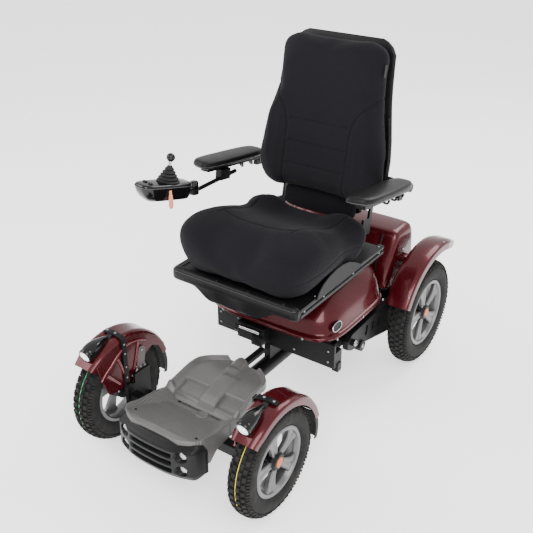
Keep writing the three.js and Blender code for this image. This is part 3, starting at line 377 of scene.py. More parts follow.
LOOKS = {
    "paint": surface("burgundy_paint", (0.066, 0.003, 0.0062), 0.26, metallic=0.4, coat=0.3,
                     specular=0.3, grain=5200, bump=0.04, blotch=0.16, blotch_scale=26),
    # Lighter, glossier copy of the burgundy paint: a painted highlight on the front fenders' raised arch and
    # ribs; it is also the red of the rear lamp lenses.
    "bright": surface("burgundy_highlight_and_lamp_red", (0.16, 0.009, 0.014), 0.22, metallic=0.5, coat=1.0, grain=5200,
                      bump=0.04, blotch=0.12),
    "frame": surface("powder_coat", (0.0045, 0.0045, 0.005), 0.4, specular=0.18, grain=1900, bump=0.22,
                     blotch=0.25, edge=0.0016, dust=((0.018, 0.0175, 0.017), 0.15)),
    "plastic": surface("moulded_plastic", (0.0055, 0.0055, 0.0062), 0.4, specular=0.18, grain=2300,
                       bump=0.28, blotch=0.2, edge=0.002, dust=((0.016, 0.016, 0.016), 0.16)),
    "gloss": surface("gloss_black", (0.004, 0.004, 0.0045), 0.16, coat=0.3, specular=0.25, grain=700,
                     bump=0.03, blotch=0.2),
    "tray": surface("tray_plastic", (0.112, 0.108, 0.106), 0.4, specular=0.45, grain=2100, bump=0.3,
                    blotch=0.09, blotch_scale=20, dust=((0.14, 0.135, 0.13), 0.25)),
    "zinc": surface("zinc_plate", (0.44, 0.55, 0.62), 0.3, metallic=0.85, grain=500, bump=0.06,
                    blotch=0.2, blotch_scale=60),
    "rim": surface("cast_rim", (0.145, 0.142, 0.146), 0.36, metallic=0.7, grain=1700, bump=0.15,
                   blotch=0.1, dust=((0.2, 0.19, 0.18), 0.3)),
    "tyre": surface("tyre_rubber", (0.011, 0.0108, 0.0106), 0.8, specular=0.2, grain=1300, bump=0.35,
                    blotch=0.2, blotch_scale=40, dust=((0.05, 0.046, 0.042), 0.4)),
    "rubber": surface("soft_rubber", (0.008, 0.008, 0.0085), 0.6, specular=0.3, bump=0.2, blotch=0.2),
    "fabric": make_weave("black_fabric", (0.0075, 0.0068, 0.0092)),
    "pad": surface("pad_skin", (0.0048, 0.0048, 0.0052), 0.42, specular=0.2, grain=950, bump=0.5,
                   depth=0.0004, blotch=0.15),
    # Grey of the piping; the same grey also draws the painted highlight lines along the seat rails.
    "piping": surface("piping_grey_and_rail_highlight", (0.05, 0.05, 0.052), 0.35, grain=900),
    "steel": surface("bolt_steel", (0.3, 0.3, 0.31), 0.3, metallic=0.9, grain=900, blotch=0.15),
    "chrome": surface("bright_steel", (0.72, 0.72, 0.73), 0.12, metallic=1.0, grain=600, bump=0.03),
    "guard": surface("guard_grey", (0.03, 0.03, 0.031), 0.6, specular=0.12, grain=1800, bump=0.2),
    "cap": surface("cap_orange", (0.5, 0.13, 0.05), 0.45, grain=900, bump=0.2, blotch=0.2),
    "tag": surface("tag_strap", (0.9, 0.34, 0.2), 0.7, sheen=0.2, grain=1400, bump=0.5, blotch=0.08),
    "lens": make_lens("lamp_lens"),
    "silver": surface("silver_ring", (0.55, 0.55, 0.57), 0.22, metallic=0.95, grain=900, bump=0.05),
    "yellow": surface("tread_line_yellow", (0.75, 0.6, 0.06), 0.7, grain=900, bump=0.3, blotch=0.2),
    "green": surface("tread_line_green", (0.1, 0.5, 0.22), 0.7, grain=900, bump=0.3, blotch=0.2),
    "cover": surface("stay_cover", (0.07, 0.045, 0.042), 0.4, coat=0.3, bump=0.15),
    "clear": surface("bumper_lens", (0.55, 0.53, 0.56), 0.12, coat=1.0, grain=500, blotch=0.4,
                     blotch_scale=160),
}
SLOT_LOOKS = {"burgundy_paint": "paint", "frame_black": "frame", "moulded_black": "plastic",
              "tray_taupe": "tray", "zinc_steel": "zinc", "cast_rim": "rim", "tyre_rubber": "tyre",
              "soft_rubber": "rubber", "black_fabric": "fabric", "pad_skin": "pad",
              "lamp_lens": "lens", "tag_orange": "tag"}
add_bands(LOOKS["tray"], "X", 0.0052, 0.0009, (-0.632, -0.478))


def finish_cad_nodes():
    """Gives every CAD node that stays in view its material."""
    for part in frame["record"]["subparts"]:
        materials = NODES[part["node"]].data.materials
        materials.clear()
        materials.append(LOOKS[SLOT_LOOKS[part["material_slot"]]])


# ---- Wheels -----------------------------------------------------------------------------
TYRE_STEPS = 112
LUG_HEIGHT = 0.0065
LUG_PITCH = 0.0245
LUG_SINK = -0.003
LUG_TAPER = 0.16
# Angle across, half span, share of the pitch, share of the height and stagger of each row of lugs.
LUG_ROWS = [(11, 8.5, 0.33, 1, 0), (31, 9, 0.33, 1, 0.5), (53, 9.5, 0.2, 0.75, 0), (55, 11, 0.16, 0.6, 0.5)]
LINE_HALF = 0.0012  # half width of the coloured line on the tread


def tyre_section(centre_radius, half_width, half_height, angle):
    """Offset across and radius of the carcass at an angle from the tread's middle."""
    c, s = cos(angle), sin(angle)
    across = half_width * copysign(abs(s) ** 0.85, s)
    return across, centre_radius + half_height * copysign(abs(c) ** 0.9, c)


def add_lug(made, shape, at, turn, across, span, sweep, height):
    """One tread block between two section angles, over a sweep of the wheel's turn."""
    corners = []
    for lift, inset in ((LUG_SINK, 0.0), (height, LUG_TAPER)):
        for da, dt in ((-1, -1), (1, -1), (1, 1), (-1, 1)):
            a = across + da * span * (1 - inset)
            t = turn + dt * sweep * (1 - inset)
            x, r = tyre_section(*shape, a)
            x += lift * sin(a)
            r += lift * cos(a)
            corners.append(at @ Vector((x, r * cos(t), r * sin(t))))
    made.add(corners, [[3, 2, 1, 0], [4, 5, 6, 7], [0, 1, 5, 4], [1, 2, 6, 5], [2, 3, 7, 6], [3, 0, 4, 7]])


def add_tread(made, shape, at, radius):
    """Staggered rows of lugs on both halves of the tread."""
    pitches = round(2 * pi * radius / LUG_PITCH)
    step = 2 * pi / pitches
    for k in range(pitches):
        for hand in (-1, 1):
            for across, span, share, height, stagger in LUG_ROWS:
                turn = k * step + hand * step / 4 + stagger * step
                add_lug(made, shape, at, turn, hand * radians(across), radians(span), step * share,
                        LUG_HEIGHT * height)


def make_tyre(end, side, line_look):
    name = f"{end}_tyre_{side}"
    low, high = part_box(name)
    radius = (high.z - low.z) / 2
    rim_low, rim_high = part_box(f"{end}_rim_{side}")
    bead = (rim_high.z - rim_low.z) / 2
    half_width = (high.x - low.x) / 2 - 0.003
    half_height = (radius - LUG_HEIGHT - bead) / 2 + 0.004
    shape = (radius - LUG_HEIGHT - half_height, half_width, half_height)
    at = move(*middle(name))
    made = Builder()
    profile = [tyre_section(*shape, radians(a)) for a in range(-152, 153, 8)]
    made.lathe([(a, max(r, bead + 0.0006)) for a, r in profile], at, steps=TYRE_STEPS)
    add_tread(made, shape, at, radius)
    looks = ["tyre"]
    if line_look:
        looks.append(line_look)
        crown = tyre_section(*shape, 0)[1]
        line = [(-LINE_HALF, crown - 0.002), (LINE_HALF, crown - 0.002),
                (LINE_HALF, crown + 0.0012), (-LINE_HALF, crown + 0.0012)]
        made.lathe(line, at, steps=TYRE_STEPS, look=1)
    made.build(f"{name}_treaded", f"{end}_wheel_{side}", looks, 40, [name])


HUB_RADIUS = 0.024


def spoke_rings(at, turn, half, inner, outer):
    """Sections of one spoke, which widens towards the barrel and has a groove along its middle."""
    stations = 9
    rings = []
    for i in range(stations):
        t = i / (stations - 1)
        width = 0.0125 + 0.012 * t ** 1.6 + 0.009 * ease(0.72, 1.0, t)
        face = half - 0.01 + 0.004 * t
        lean = 0.004 * sin(pi * t)
        right = [(0.004, 0.0), (width - 0.004, 0.0), (width, -0.003), (width, -0.014)]
        section = [*[(-w, h) for w, h in right[::-1]], (0.0, -0.0022), *right]
        rings.append([at @ turn @ Vector((face + h, w + lean, inner + (outer - inner) * t))
                      for w, h in section])
    return rings


def make_rim(end, side):
    name = f"{end}_rim_{side}"
    low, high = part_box(name)
    lip = (high.z - low.z) / 2 - 0.0002
    half = (high.x - low.x) / 2
    at = move(*middle(name)) @ Matrix.Diagonal((SIDES[side], 1, 1, 1))
    made = Builder()
    made.lathe([(-half, lip - 0.01), (-half + 0.002, lip), (-half + 0.006, lip),
                (-half + 0.01, lip - 0.006), (half - 0.01, lip - 0.006), (half - 0.006, lip),
                (half - 0.002, lip), (half, lip - 0.004), (half - 0.002, lip - 0.012),
                (half - 0.012, lip - 0.017), (half - 0.02, lip - 0.019), (-half + 0.012, lip - 0.016)],
               at, steps=96)
    for k in range(SPOKES):
        turn = spin(2 * pi * k / SPOKES + SPOKE_START, "X")
        made.loft(spoke_rings(at, turn, half, HUB_RADIUS, lip - 0.015))
    face = half - 0.002
    made.disc([(-half, 0.03), (half - 0.026, 0.033), (half - 0.012, 0.031), (face - 0.004, 0.0265),
               (face, 0.023)], at, 40, look=1)
    for k in range(SPOKES):
        lobe = at @ spin(2 * pi * (k + 0.5) / SPOKES + SPOKE_START, "X") @ move(0, 0, 0.027)
        made.disc([(half - 0.03, 0.009), (half - 0.012, 0.0085), (half - 0.009, 0.006)], lobe, 14, look=1)
    made.disc([(face - 0.002, 0.0165), (face + 0.0018, 0.016), (face + 0.003, 0.0135),
               (face + 0.0022, 0.011), (face + 0.003, 0.005)], at, 32, look=2)
    valve = at @ spin(0.95, "X") @ move(half - 0.016, 0, lip - 0.032)
    made.disc([(-0.003, 0.004), (0.018, 0.003), (0.02, 0)], valve, 10, look=1)
    made.build(f"{name}_cast", f"{end}_wheel_{side}", ["rim", "plastic", "cap"], 32, [name])


# ---- Fenders ----------------------------------------------------------------------------
FRONT_ARC = (133, 16)
FRONT_RADIUS = 0.1935
FLAP_ARC = (16.5, -12)
REAR_ARC = (151, 50)
STAY_FACE = 0.2275  # x of the tower's flank, where the rear fender's stay ends


def fender_section(half, crown, edge, wall, ridge_at):
    """A crowned cross-section with turned-down edges, as (across, outward) points."""
    def shell(inset):
        points = [(-half + inset, -edge)]
        for k in range(17):
            angle = pi * (1 - k / 16)
            c, s = cos(angle), sin(angle)
            across = (half - inset) * copysign(abs(c) ** 0.42, c)
            out = (crown - inset) * abs(s) ** 0.8
            if not inset:
                out += 0.0018 * bell(abs(across), ridge_at, 0.0035)
            points.append((across, out))
        points.append((half - inset, -edge))
        return points
    return shell(0.0) + shell(wall)[::-1]


def arc_rings(hub, section, degrees, steps, radius_at, width_at):
    """Sections along an arc about a hub, with a radius and a share of the width at each."""
    rings = []
    for k in range(steps + 1):
        t = k / steps
        angle = radians(degrees[0] + (degrees[1] - degrees[0]) * t)
        rings.append([Vector((hub.x + a * width_at(t), hub.y + (radius_at(t) + b) * cos(angle),
                              hub.z + (radius_at(t) + b) * sin(angle))) for a, b in section])
    return rings


def polar(hub, x, radius, degrees):
    angle = radians(degrees)
    return Vector((x, hub.y + radius * cos(angle), hub.z + radius * sin(angle)))


def add_radial_bolt(made, hub, x, radius, degrees, size, look):
    """A bolt that faces away from the hub."""
    made.bolt(polar(hub, x, radius, degrees), polar(hub, x, 1, degrees) - polar(hub, x, 0, degrees), size,
              look)


def front_panel_outline(hub):
    """The front fender's inner panel, as (y, z) points."""
    rim = [(0.196, a) for a in range(128, 16, -6)]
    inside = [(0.15, 136), (0.089, 158), (0.048, 152), (0.03, 110), (0.036, 44), (0.072, 55),
              (0.12, 50), (0.166, 42), (0.184, 29), (0.188, 17)]
    points = [polar(hub, 0, r, a) for r, a in [*rim, *inside[::-1]]]
    return [(p.y, p.z) for p in points]


def make_front_fender(side):
    sign = SIDES[side]
    hub = middle(f"front_tyre_{side}")
    made = Builder()
    section = fender_section(0.045, 0.0125, 0.015, 0.003, 0.03)
    made.loft(arc_rings(hub, section, FRONT_ARC, 30, lambda t: FRONT_RADIUS,
                        lambda t: 1 - 0.1 * (1 - ease(0.0, 0.12, t))))
    inner = hub.x - sign * 0.0458
    made.prism(front_panel_outline(hub), side_plane(min(inner, inner + sign * 0.003)), 0.003, chamfer=0.0006)
    face = inner - sign * 0.0015
    # The raised arch and ribs take the lighter burgundy (look 1), a painted highlight on them.
    arch = [polar(hub, face, 0.176 - 0.028 * ease(80, 120, a), a) for a in range(58, 139, 5)]
    made.tube(arch, 0.0038, 10, look=1)
    for start, end in (((0.075, 66), (0.172, 70)), ((0.066, 98), (0.15, 104)), ((0.06, 126), (0.138, 128))):
        rib = [polar(hub, face, start[0] + (end[0] - start[0]) * t / 6,
                     start[1] + (end[1] - start[1]) * t / 6) for t in range(7)]
        made.tube(rib, 0.0042, 10, look=1)
    for radius, angle in ((0.05, 150), (0.082, 58), (0.052, 66)):
        made.bolt(polar(hub, face, radius, angle), (-sign, 0, 0), 0.0036, look=2)
    for hand in (-1, 1):
        add_radial_bolt(made, hub, hub.x + hand * 0.036, FRONT_RADIUS + 0.01, 24, 0.0036, look=2)
    made.build(f"front_fender_{side}_panel", f"knuckle_{side}", ["paint", "bright", "steel"],
               42, [f"front_fender_{side}"])


def make_oval_plate(side):
    """The oval plate and its screws on the inner side of a front fender."""
    sign = SIDES[side]
    hub = middle(f"front_tyre_{side}")
    made = Builder()
    out = move(hub.x - sign * 0.0475, hub.y + 0.064, hub.z + 0.094) @ spin(-0.2, "X") @ side_plane(0, -sign)
    made.prism(superellipse(0.0175, 0.045, 2.6, 32), out, 0.004, chamfer=0.0012)
    for hand in (-1, 1):
        made.bolt(out @ Vector((0, hand * 0.03, 0.004)), (-sign, 0, 0), 0.005, look=1)
    made.build(f"fender_stay_{side}", f"knuckle_{side}", ["cover", "steel"])


def make_mud_flap(side):
    hub = middle(f"front_tyre_{side}")
    made = Builder()
    section = fender_section(0.04, 0.008, 0.012, 0.003, 0.02)
    made.loft(arc_rings(hub, section, FLAP_ARC, 12, lambda t: 0.1925 + 0.008 * t,
                        lambda t: 1 - 0.16 * t ** 2))
    made.build(f"mud_flap_{side}_moulded", f"knuckle_{side}", ["rubber"], 42,
               [f"mud_flap_{side}"])


def rear_radius(t):
    """Radius of the rear fender, which rises away from the tyre towards its tail."""
    return 0.223 + 0.058 * t ** 1.8


def make_rear_fender(side):
    sign = SIDES[side]
    hub = middle(f"rear_tyre_{side}")
    made = Builder()
    section = fender_section(0.044, 0.013, 0.02, 0.0035, 0.024)
    made.loft(arc_rings(hub, section, REAR_ARC, 34, rear_radius, lambda t: 1 - 0.18 * ease(0.86, 1.0, t)))
    inner = hub.x - sign * 0.047
    outline = [(0.3, 0.346), (0.33, 0.334), (0.372, 0.372), (0.43, 0.402), (0.54, 0.41),
               (0.572, 0.432), (0.5, 0.442), (0.42, 0.43), (0.35, 0.4)]
    made.prism(outline, side_plane(min(inner, inner + sign * 0.006)), 0.006, chamfer=0.001)
    stay = move(min(inner, sign * STAY_FACE), 0.445, 0.4125) @ side_plane()
    made.prism(superellipse(0.017, 0.0125, 6, 20), stay, abs(inner - sign * STAY_FACE), chamfer=0.001)
    for angle in (140, 72):
        t = (REAR_ARC[0] - angle) / (REAR_ARC[0] - REAR_ARC[1])
        add_radial_bolt(made, hub, hub.x + sign * 0.034, rear_radius(t) + 0.0115, angle, 0.004, look=1)
    made.build(f"rear_fender_{side}_panel", "chassis", ["paint", "steel"], 42,
               [f"rear_fender_{side}"])


# ---- Headlights -------------------------------------------------------------------------
# Place of a pod from the hub of its wheel: towards the middle, forward and up.
LAMP_PLACE = Vector((0.004, -0.112, 0.186))
# Middle of the lens from the pod's origin.
LAMP_NOSE = Vector((0, -0.009, 0.003))
# Distance back, half width, height of the middle and half height of each section of the pod.
LAMP_SECTIONS = [(-0.0085, 0.0195, 0.005, 0.0185), (-0.006, 0.0225, 0.005, 0.021),
                 (0.006, 0.0245, 0.005, 0.0225), (0.022, 0.0245, 0.004, 0.022),
                 (0.04, 0.0215, 0.002, 0.019), (0.056, 0.016, -0.002, 0.0145),
                 (0.07, 0.0105, -0.006, 0.0105), (0.082, 0.006, -0.01, 0.007),
                 (0.086, 0.002, -0.012, 0.003)]


def lamp_frame(side):
    hub = middle(f"front_tyre_{side}")
    return move(hub.x - SIDES[side] * LAMP_PLACE.x, hub.y + LAMP_PLACE.y, hub.z + LAMP_PLACE.z) @ spin(
        LAMP_TILT, "X")


def make_headlight(side):
    at = lamp_frame(side)
    along = move(*(at.translation + LAMP_NOSE)) @ spin(-LAMP_RISE, "X") @ spin(QUARTER, "Z")
    made = Builder()
    made.loft([[at @ Vector((a, y, centre + b)) for a, b in superellipse(half_width, half_height, 2.5, 32)]
               for y, half_width, centre, half_height in LAMP_SECTIONS])
    made.disc([(0.044, 0.012), (0.02, 0.0225), (-0.004, 0.0246), (-0.006, 0.0234)], along, 40)
    made.lathe([(-0.005, 0.0228), (-0.0082, 0.0222), (-0.0082, 0.0186), (-0.005, 0.0182)], along, 40)
    for hand in (-1, 1):
        for x, y, z in ((0.0215, 0.012, 0.013), (0.019, 0.04, 0.006)):
            made.bolt(at @ Vector((hand * x, y, z)), at.to_3x3() @ Vector((hand, 0, 0.5)), 0.003, look=1)
    base = [(-0.024, -0.01), (0.024, -0.01), (0.024, 0.03), (0.008, 0.098), (-0.008, 0.098), (-0.024, 0.03)]
    made.prism(base, at @ move(0, 0, -0.019), 0.006, chamfer=0.001)
    made.build(f"headlight_{side}_pod", f"knuckle_{side}", ["gloss", "steel"], 45,
               [f"headlight_{side}"])
    glass = Builder()
    glass.disc([(-0.005, 0.0182), (-0.0072, 0.018), (-0.0098, 0.014), (-0.0116, 0.007), (-0.0122, 0)],
               along, 40)
    glass.build(f"headlight_lens_{side}_domed", f"knuckle_{side}", ["lens"], 50,
                [f"headlight_lens_{side}"])


# ---- Footplate and bumper ---------------------------------------------------------------
# Stations of the tray along Y.
TRAY = {"front": -0.652, "floor": -0.64, "nose": -0.596, "crease": -0.446, "rear": -0.215}
TRAY_HALF = 0.152
TRAY_LOW = 0.187
TRAY_TOE_RISE = 0.06
TRAY_EDGE = 0.006
TRAY_OVER_BUMPER = 0.2005  # the lowest the tray comes where it lies on the bumper
BUMPER_LOW = 0.122
BUMPER_HIGH = 0.238
BUMPER_FRONT = -0.68
BUMPER_BACK = -0.606
BUMPER_HALF = 0.161
BUMPER_BOW = 0.036
SLAT_HEIGHTS = (0.146, 0.173, 0.2)
LAMP_SINK = 0.013
BUMPER_LAMPS = [(x, z) for x in (-0.108, 0.108) for z in (0.154, 0.204)]


def tray_half(y):
    t = (y - TRAY["floor"]) / (TRAY["rear"] - TRAY["floor"])
    nose = max(0.0, (TRAY["nose"] - y) / (TRAY["nose"] - TRAY["front"]))
    tail = max(0.0, (t - 0.8) / 0.2)
    return TRAY_HALF - 0.02 * max(t, 0) - 0.062 * tail ** 2.2 - 0.062 * nose ** 2.6


def side_wall(y):
    """How far the side wall of the toe well has risen, from 0 to 1."""
    return ease(-0.575, -0.462, y) * (1 - ease(-0.446, -0.412, y))


def heel_recess(x, y):
    """How far a point lies inside the two heel recesses, from 0 to 1."""
    before_ridge = 1 - ease(-0.377, -0.369, y)
    left = ease(-0.112, -0.105, x) * (1 - ease(-0.02, -0.013, x))
    right = ease(0.043, 0.05, x) * (1 - ease(0.12, 0.127, x))
    return max(left, right) * before_ridge


def tray_floor(x, y):
    if y < TRAY["crease"]:
        z = TRAY_LOW + TRAY_TOE_RISE * (TRAY["crease"] - y) / (TRAY["crease"] - TRAY["floor"])
        knob = hypot(x - 0.03, (y + 0.47) * 1.1)
        return z + 0.006 * (1 - ease(0.019, 0.024, knob)) - 0.002 * (1 - ease(0.012, 0.017, knob))
    t = (y - TRAY["crease"]) / (TRAY["rear"] - TRAY["crease"])
    z = TRAY_LOW + 0.036 * sin(t * pi / 2)
    z += 0.02 * ease(-0.446, -0.424, y) * (1 - ease(-0.34, -0.22, y))
    recess = heel_recess(x, y)
    z -= 0.015 * recess
    z += 0.014 * recess * (1 - recess)
    spine = ease(-0.022, -0.012, x) * (1 - ease(0.04, 0.052, x))
    z += 0.006 * spine * ease(-0.43, -0.4, y) * (1 - ease(-0.315, -0.285, y))
    tunnel = 1 - ease(0.01, 0.034, abs(x + 0.004))
    return z + 0.016 * tunnel * ease(-0.3, -0.225, y)


def tray_ring(y, across):
    """One section of the tray at y: over the floor from side to side, and back underneath."""
    half = tray_half(y)
    rise = side_wall(y)
    floor_y = max(y, TRAY["floor"])
    lip = 0.003 + 0.01 * ease(TRAY["front"], TRAY["floor"] + 0.05, y) + 0.015 * rise
    rim_z = tray_floor(half, floor_y) + lip
    skirt = 0.138 + 0.036 * ease(-0.606, -0.535, y)
    bottom = max(skirt, rim_z - 0.024 - 0.07 * (1 - ease(-0.56, -0.4, y)))
    if y < BUMPER_BACK - 0.0005:
        bottom = max(bottom, TRAY_OVER_BUMPER)
    ring = [(-half, bottom), (-half, rim_z - 0.004), (-half + 0.0015, rim_z)]
    for i in range(across + 1):
        x = (half - TRAY_EDGE) * (2 * i / across - 1)
        edge = half - TRAY_EDGE - abs(x)
        wall = lip * (1 - ease(0.0, 0.014 + 0.036 * rise, edge))
        ring.append((x, tray_floor(x, floor_y) + wall))
    ceiling = max(bottom, rim_z - 0.028)
    ring += [(half - 0.0015, rim_z), (half, rim_z - 0.004), (half, bottom), (half - 0.004, bottom),
             (half - 0.006, ceiling), (-half + 0.006, ceiling), (-half + 0.004, bottom)]
    return [Vector((x, y, z)) for x, z in ring]


def make_tray():
    made = Builder()
    along = 150
    made.loft([tray_ring(TRAY["front"] + (TRAY["rear"] - TRAY["front"]) * j / along, 128)
               for j in range(along + 1)])
    for x, y in ((-0.118, -0.604), (0.118, -0.604), (-0.1, -0.452), (-0.075, -0.455), (0.108, -0.455)):
        made.bolt((x, y, tray_floor(x, y)), (0, 0, 1), 0.0045, look=1)
    boss = spline([(-0.004, -0.262, 0.226), (-0.006, -0.238, 0.228), (-0.008, -0.214, 0.224)], 6)
    made.tube(boss, 0.0225, 20)
    made.build("footplate_tray_moulded", "front_frame", ["tray", "frame"], 50,
               ["footplate_tray"])


def bumper_front(x):
    """Foremost y of the bumper at x, bowed in plan."""
    return BUMPER_FRONT + BUMPER_BOW * (abs(x) / BUMPER_HALF) ** 2.6


def bumper_face(x, z):
    """Front surface of the bumper: rounded above and below and at the ends, with slats and lamp wells."""
    upper = ease(0.214, BUMPER_HIGH, z)
    lower = 1 - ease(BUMPER_LOW, 0.142, z)
    y = bumper_front(x) + 0.026 * upper ** 1.8 + 0.007 * lower ** 1.6
    for slat in SLAT_HEIGHTS:
        y += 0.014 * (1 - ease(0.0055, 0.0095, abs(z - slat))) * (1 - ease(0.07, 0.08, abs(x)))
    for lamp_x, lamp_z in BUMPER_LAMPS:
        y += LAMP_SINK * (1 - ease(0.0155, 0.0185, hypot(x - lamp_x, z - lamp_z)))
    y += 0.03 * ease(0.84, 1.0, abs(x) / BUMPER_HALF) ** 1.6
    return min(y, BUMPER_BACK - 0.004)


def bumper_ring(x, upward):
    """One section of the bumper at x: up the front surface and down the hollowed back."""
    shrink = 0.014 * ease(0.86, 1.0, abs(x) / BUMPER_HALF) ** 2
    low, high = BUMPER_LOW + shrink, BUMPER_HIGH - shrink
    ring = [(BUMPER_BACK, low)]
    for j in range(upward + 1):
        z = low + (high - low) * j / upward
        ring.append((bumper_face(x, z), z))
    if abs(x) < 0.14:
        hollow, foot = BUMPER_BACK - 0.02, BUMPER_LOW + 0.01
    else:
        hollow, foot = BUMPER_BACK, low + 0.01
    ring += [(BUMPER_BACK, high - 0.011), (BUMPER_BACK, 0.21), (hollow, 0.205), (hollow, foot)]
    return [Vector((x, y, z)) for y, z in ring]


def make_bumper():
    made = Builder()
    across = 96
    made.loft([bumper_ring(BUMPER_HALF * (2 * i / across - 1), 56) for i in range(across + 1)])
    for x, z in BUMPER_LAMPS:
        along = move(x, bumper_front(x) + LAMP_SINK, z) @ spin(QUARTER, "Z")
        made.disc([(0.0015, 0.0118), (-0.001, 0.0118), (-0.003, 0.008), (-0.004, 0)], along, 28, look=1)
        bezel = [(0.001, 0.0118), (-0.0015, 0.0118), (-0.0015, 0.0134), (0.001, 0.0134)]
        made.lathe(bezel, along, 28, look=2)
    made.build("front_bumper_moulded", "front_frame", ["plastic", "clear", "chrome"], 50,
               ["front_bumper"])


# ---- Body -------------------------------------------------------------------------------
# Levels of the body shells: height, half width, front y and rear y.
SHROUD_LEVELS = [(0.3235, 0.244, -0.1, 0.318), (0.322, 0.25, -0.106, 0.322),
                 (0.325, 0.2555, -0.1115, 0.3275), (0.331, 0.256, -0.112, 0.328),
                 (0.336, 0.2535, -0.1095, 0.3275), (0.338, 0.246, -0.101, 0.3265),
                 (0.345, 0.243, -0.097, 0.3265), (0.37, 0.2385, -0.093, 0.327),
                 (0.395, 0.229, -0.08, 0.326), (0.42, 0.212, -0.054, 0.323),
                 (0.438, 0.196, -0.033, 0.316), (0.448, 0.183, -0.018, 0.305),
                 (0.4515, 0.17, -0.006, 0.294)]
FLANGE_MIDDLE = 0.3305
SHROUD_INSIDE = (0.3245, 0.24, -0.096, 0.3145)
SHROUD_FLANGE = 5  # the first level above the foot's flange, where the inner face starts
TOWER_LEVELS = [(0.3205, 0.226, 0.336, 0.554), (0.326, 0.228, 0.335, 0.556),
                (0.36, 0.228, 0.342, 0.5545), (0.4, 0.228, 0.351, 0.552),
                (0.44, 0.2275, 0.366, 0.548), (0.475, 0.227, 0.383, 0.541),
                (0.497, 0.2255, 0.393, 0.536), (0.512, 0.22, 0.4, 0.53),
                (0.519, 0.211, 0.407, 0.5235), (0.522, 0.196, 0.418, 0.512)]


def rounded_rings(levels, count=SHROUD_POINTS, power=5.0):
    """Rings of a soft-cornered rectangle at each level."""
    rings = []
    for z, half, front, rear in levels:
        centre = (front + rear) / 2
        outline = superellipse(half, (rear - front) / 2, power, count)
        rings.append([Vector((a, centre + b, z)) for a, b in outline])
    return rings


def sink_crease(rings):
    """Presses a slanting crease into the shroud's flanks."""
    for ring in rings:
        for i, p in enumerate(ring):
            if abs(p.x) > 0.19:
                depth = 0.0045 * bell(p.y, COLUMN_Y + (p.z - 0.34) * 0.9, 0.012)
                ring[i] = p - Vector((copysign(depth, p.x), 0, 0))


def make_shroud():
    made = Builder()
    inner = [(z - SHROUD_WALL, half - SHROUD_WALL, front + SHROUD_WALL, rear - SHROUD_WALL)
             for z, half, front, rear in SHROUD_LEVELS[SHROUD_FLANGE:]]
    rings = rounded_rings(SHROUD_LEVELS)
    for z, scale in ((0.452, 1.12), (0.4495, 1), (0.4475, 1)):
        hole = circle(COLUMN_HOLE * scale, SHROUD_POINTS)
        rings.append([Vector((x, COLUMN_Y + y, z)) for x, y in hole])
    rings += rounded_rings([*inner[::-1], SHROUD_INSIDE])
    sink_crease(rings[SHROUD_FLANGE + 1:SHROUD_FLANGE + 6])
    made.loft([*rings, rings[0]], caps=False)
    for hand in (-1, 1):
        for y in (-0.05, 0.12, 0.26):
            made.bolt((hand * 0.2555, y, FLANGE_MIDDLE), (hand, 0, 0), 0.0045, look=1)
        made.bolt((hand * 0.16, -0.1125, FLANGE_MIDDLE), (0, -1, 0), 0.0045, look=1)
    made.build("body_shroud_panel", "chassis", ["paint", "steel"], 50, ["body_shroud"])


def make_shroud_rings():
    """The blank oval badges in silver rings on the shroud's flanks."""
    for side, sign in SIDES.items():
        made = Builder()
        lean = move(sign * 0.24, -0.03, 0.364) @ spin(-sign * 0.2, "Y")
        made.hoop([lean @ Vector((sign * 0.0012, a, b)) for a, b in superellipse(0.027, 0.014, 2.2, 40)],
                  0.0017)
        made.prism(superellipse(0.0265, 0.0135, 2.2, 40), lean @ side_plane(-sign * 0.006, sign), 0.006,
                   look=1, chamfer=0.0008)
        made.build(f"shroud_oval_{side}", "chassis", ["silver", "plastic"])


def make_tower():
    made = Builder()
    rings = rounded_rings(TOWER_LEVELS, 120, 9.0)
    for ring in rings[1:7]:
        for i, p in enumerate(ring):
            if p.y < 0.42 and abs(p.x) < 0.2:
                flute = bell(abs(p.x), 0.09, 0.01) + bell(abs(p.x), 0.16, 0.01)
                ring[i] = p + Vector((0, 0.006 * flute, 0))
    made.loft(rings)
    made.build("tower_cover_panel", "chassis", ["paint"], 55, ["tower_cover"])
    # Dark tubes down the tower's front lie along its flutes as painted shade; a tube across the back and the
    # bolts go with them.
    trim = Builder()
    for sign in SIDES.values():
        # Dark tube along the flute on this side of the front: painted shade of the flute.
        front = [(0.4005, 0.505), (0.376, 0.46), (0.353, 0.39), (0.342, 0.34)]
        trim.tube(spline([(sign * 0.17, y, z) for y, z in front], 8), 0.0032, 8)
        for z in (0.36, 0.44):
            trim.bolt((sign * 0.2285, 0.45, z), (sign, 0, 0), 0.0048, look=1)
    trim.tube(spline([(-0.18, 0.556, 0.36), (0, 0.5565, 0.36), (0.18, 0.556, 0.36)], 10), 0.003, 8)
    trim.build("tower_flute_shade_and_trim", "chassis", ["plastic", "steel"])


def make_rear_lamps():
    """Red rear lamps on the tower's back face."""
    for side, sign in SIDES.items():
        made = Builder()
        at = move(sign * 0.165, 0.548, 0.42) @ front_plane()
        made.prism(superellipse(0.03, 0.02, 4, 32), at, 0.01, chamfer=0.002)
        # The lens takes the lighter burgundy as its own lamp red.
        made.prism(superellipse(0.026, 0.016, 4, 32), at, 0.0125, look=1, chamfer=0.003)
        made.build(f"rear_lamp_{side}", "chassis", ["plastic", "bright"])


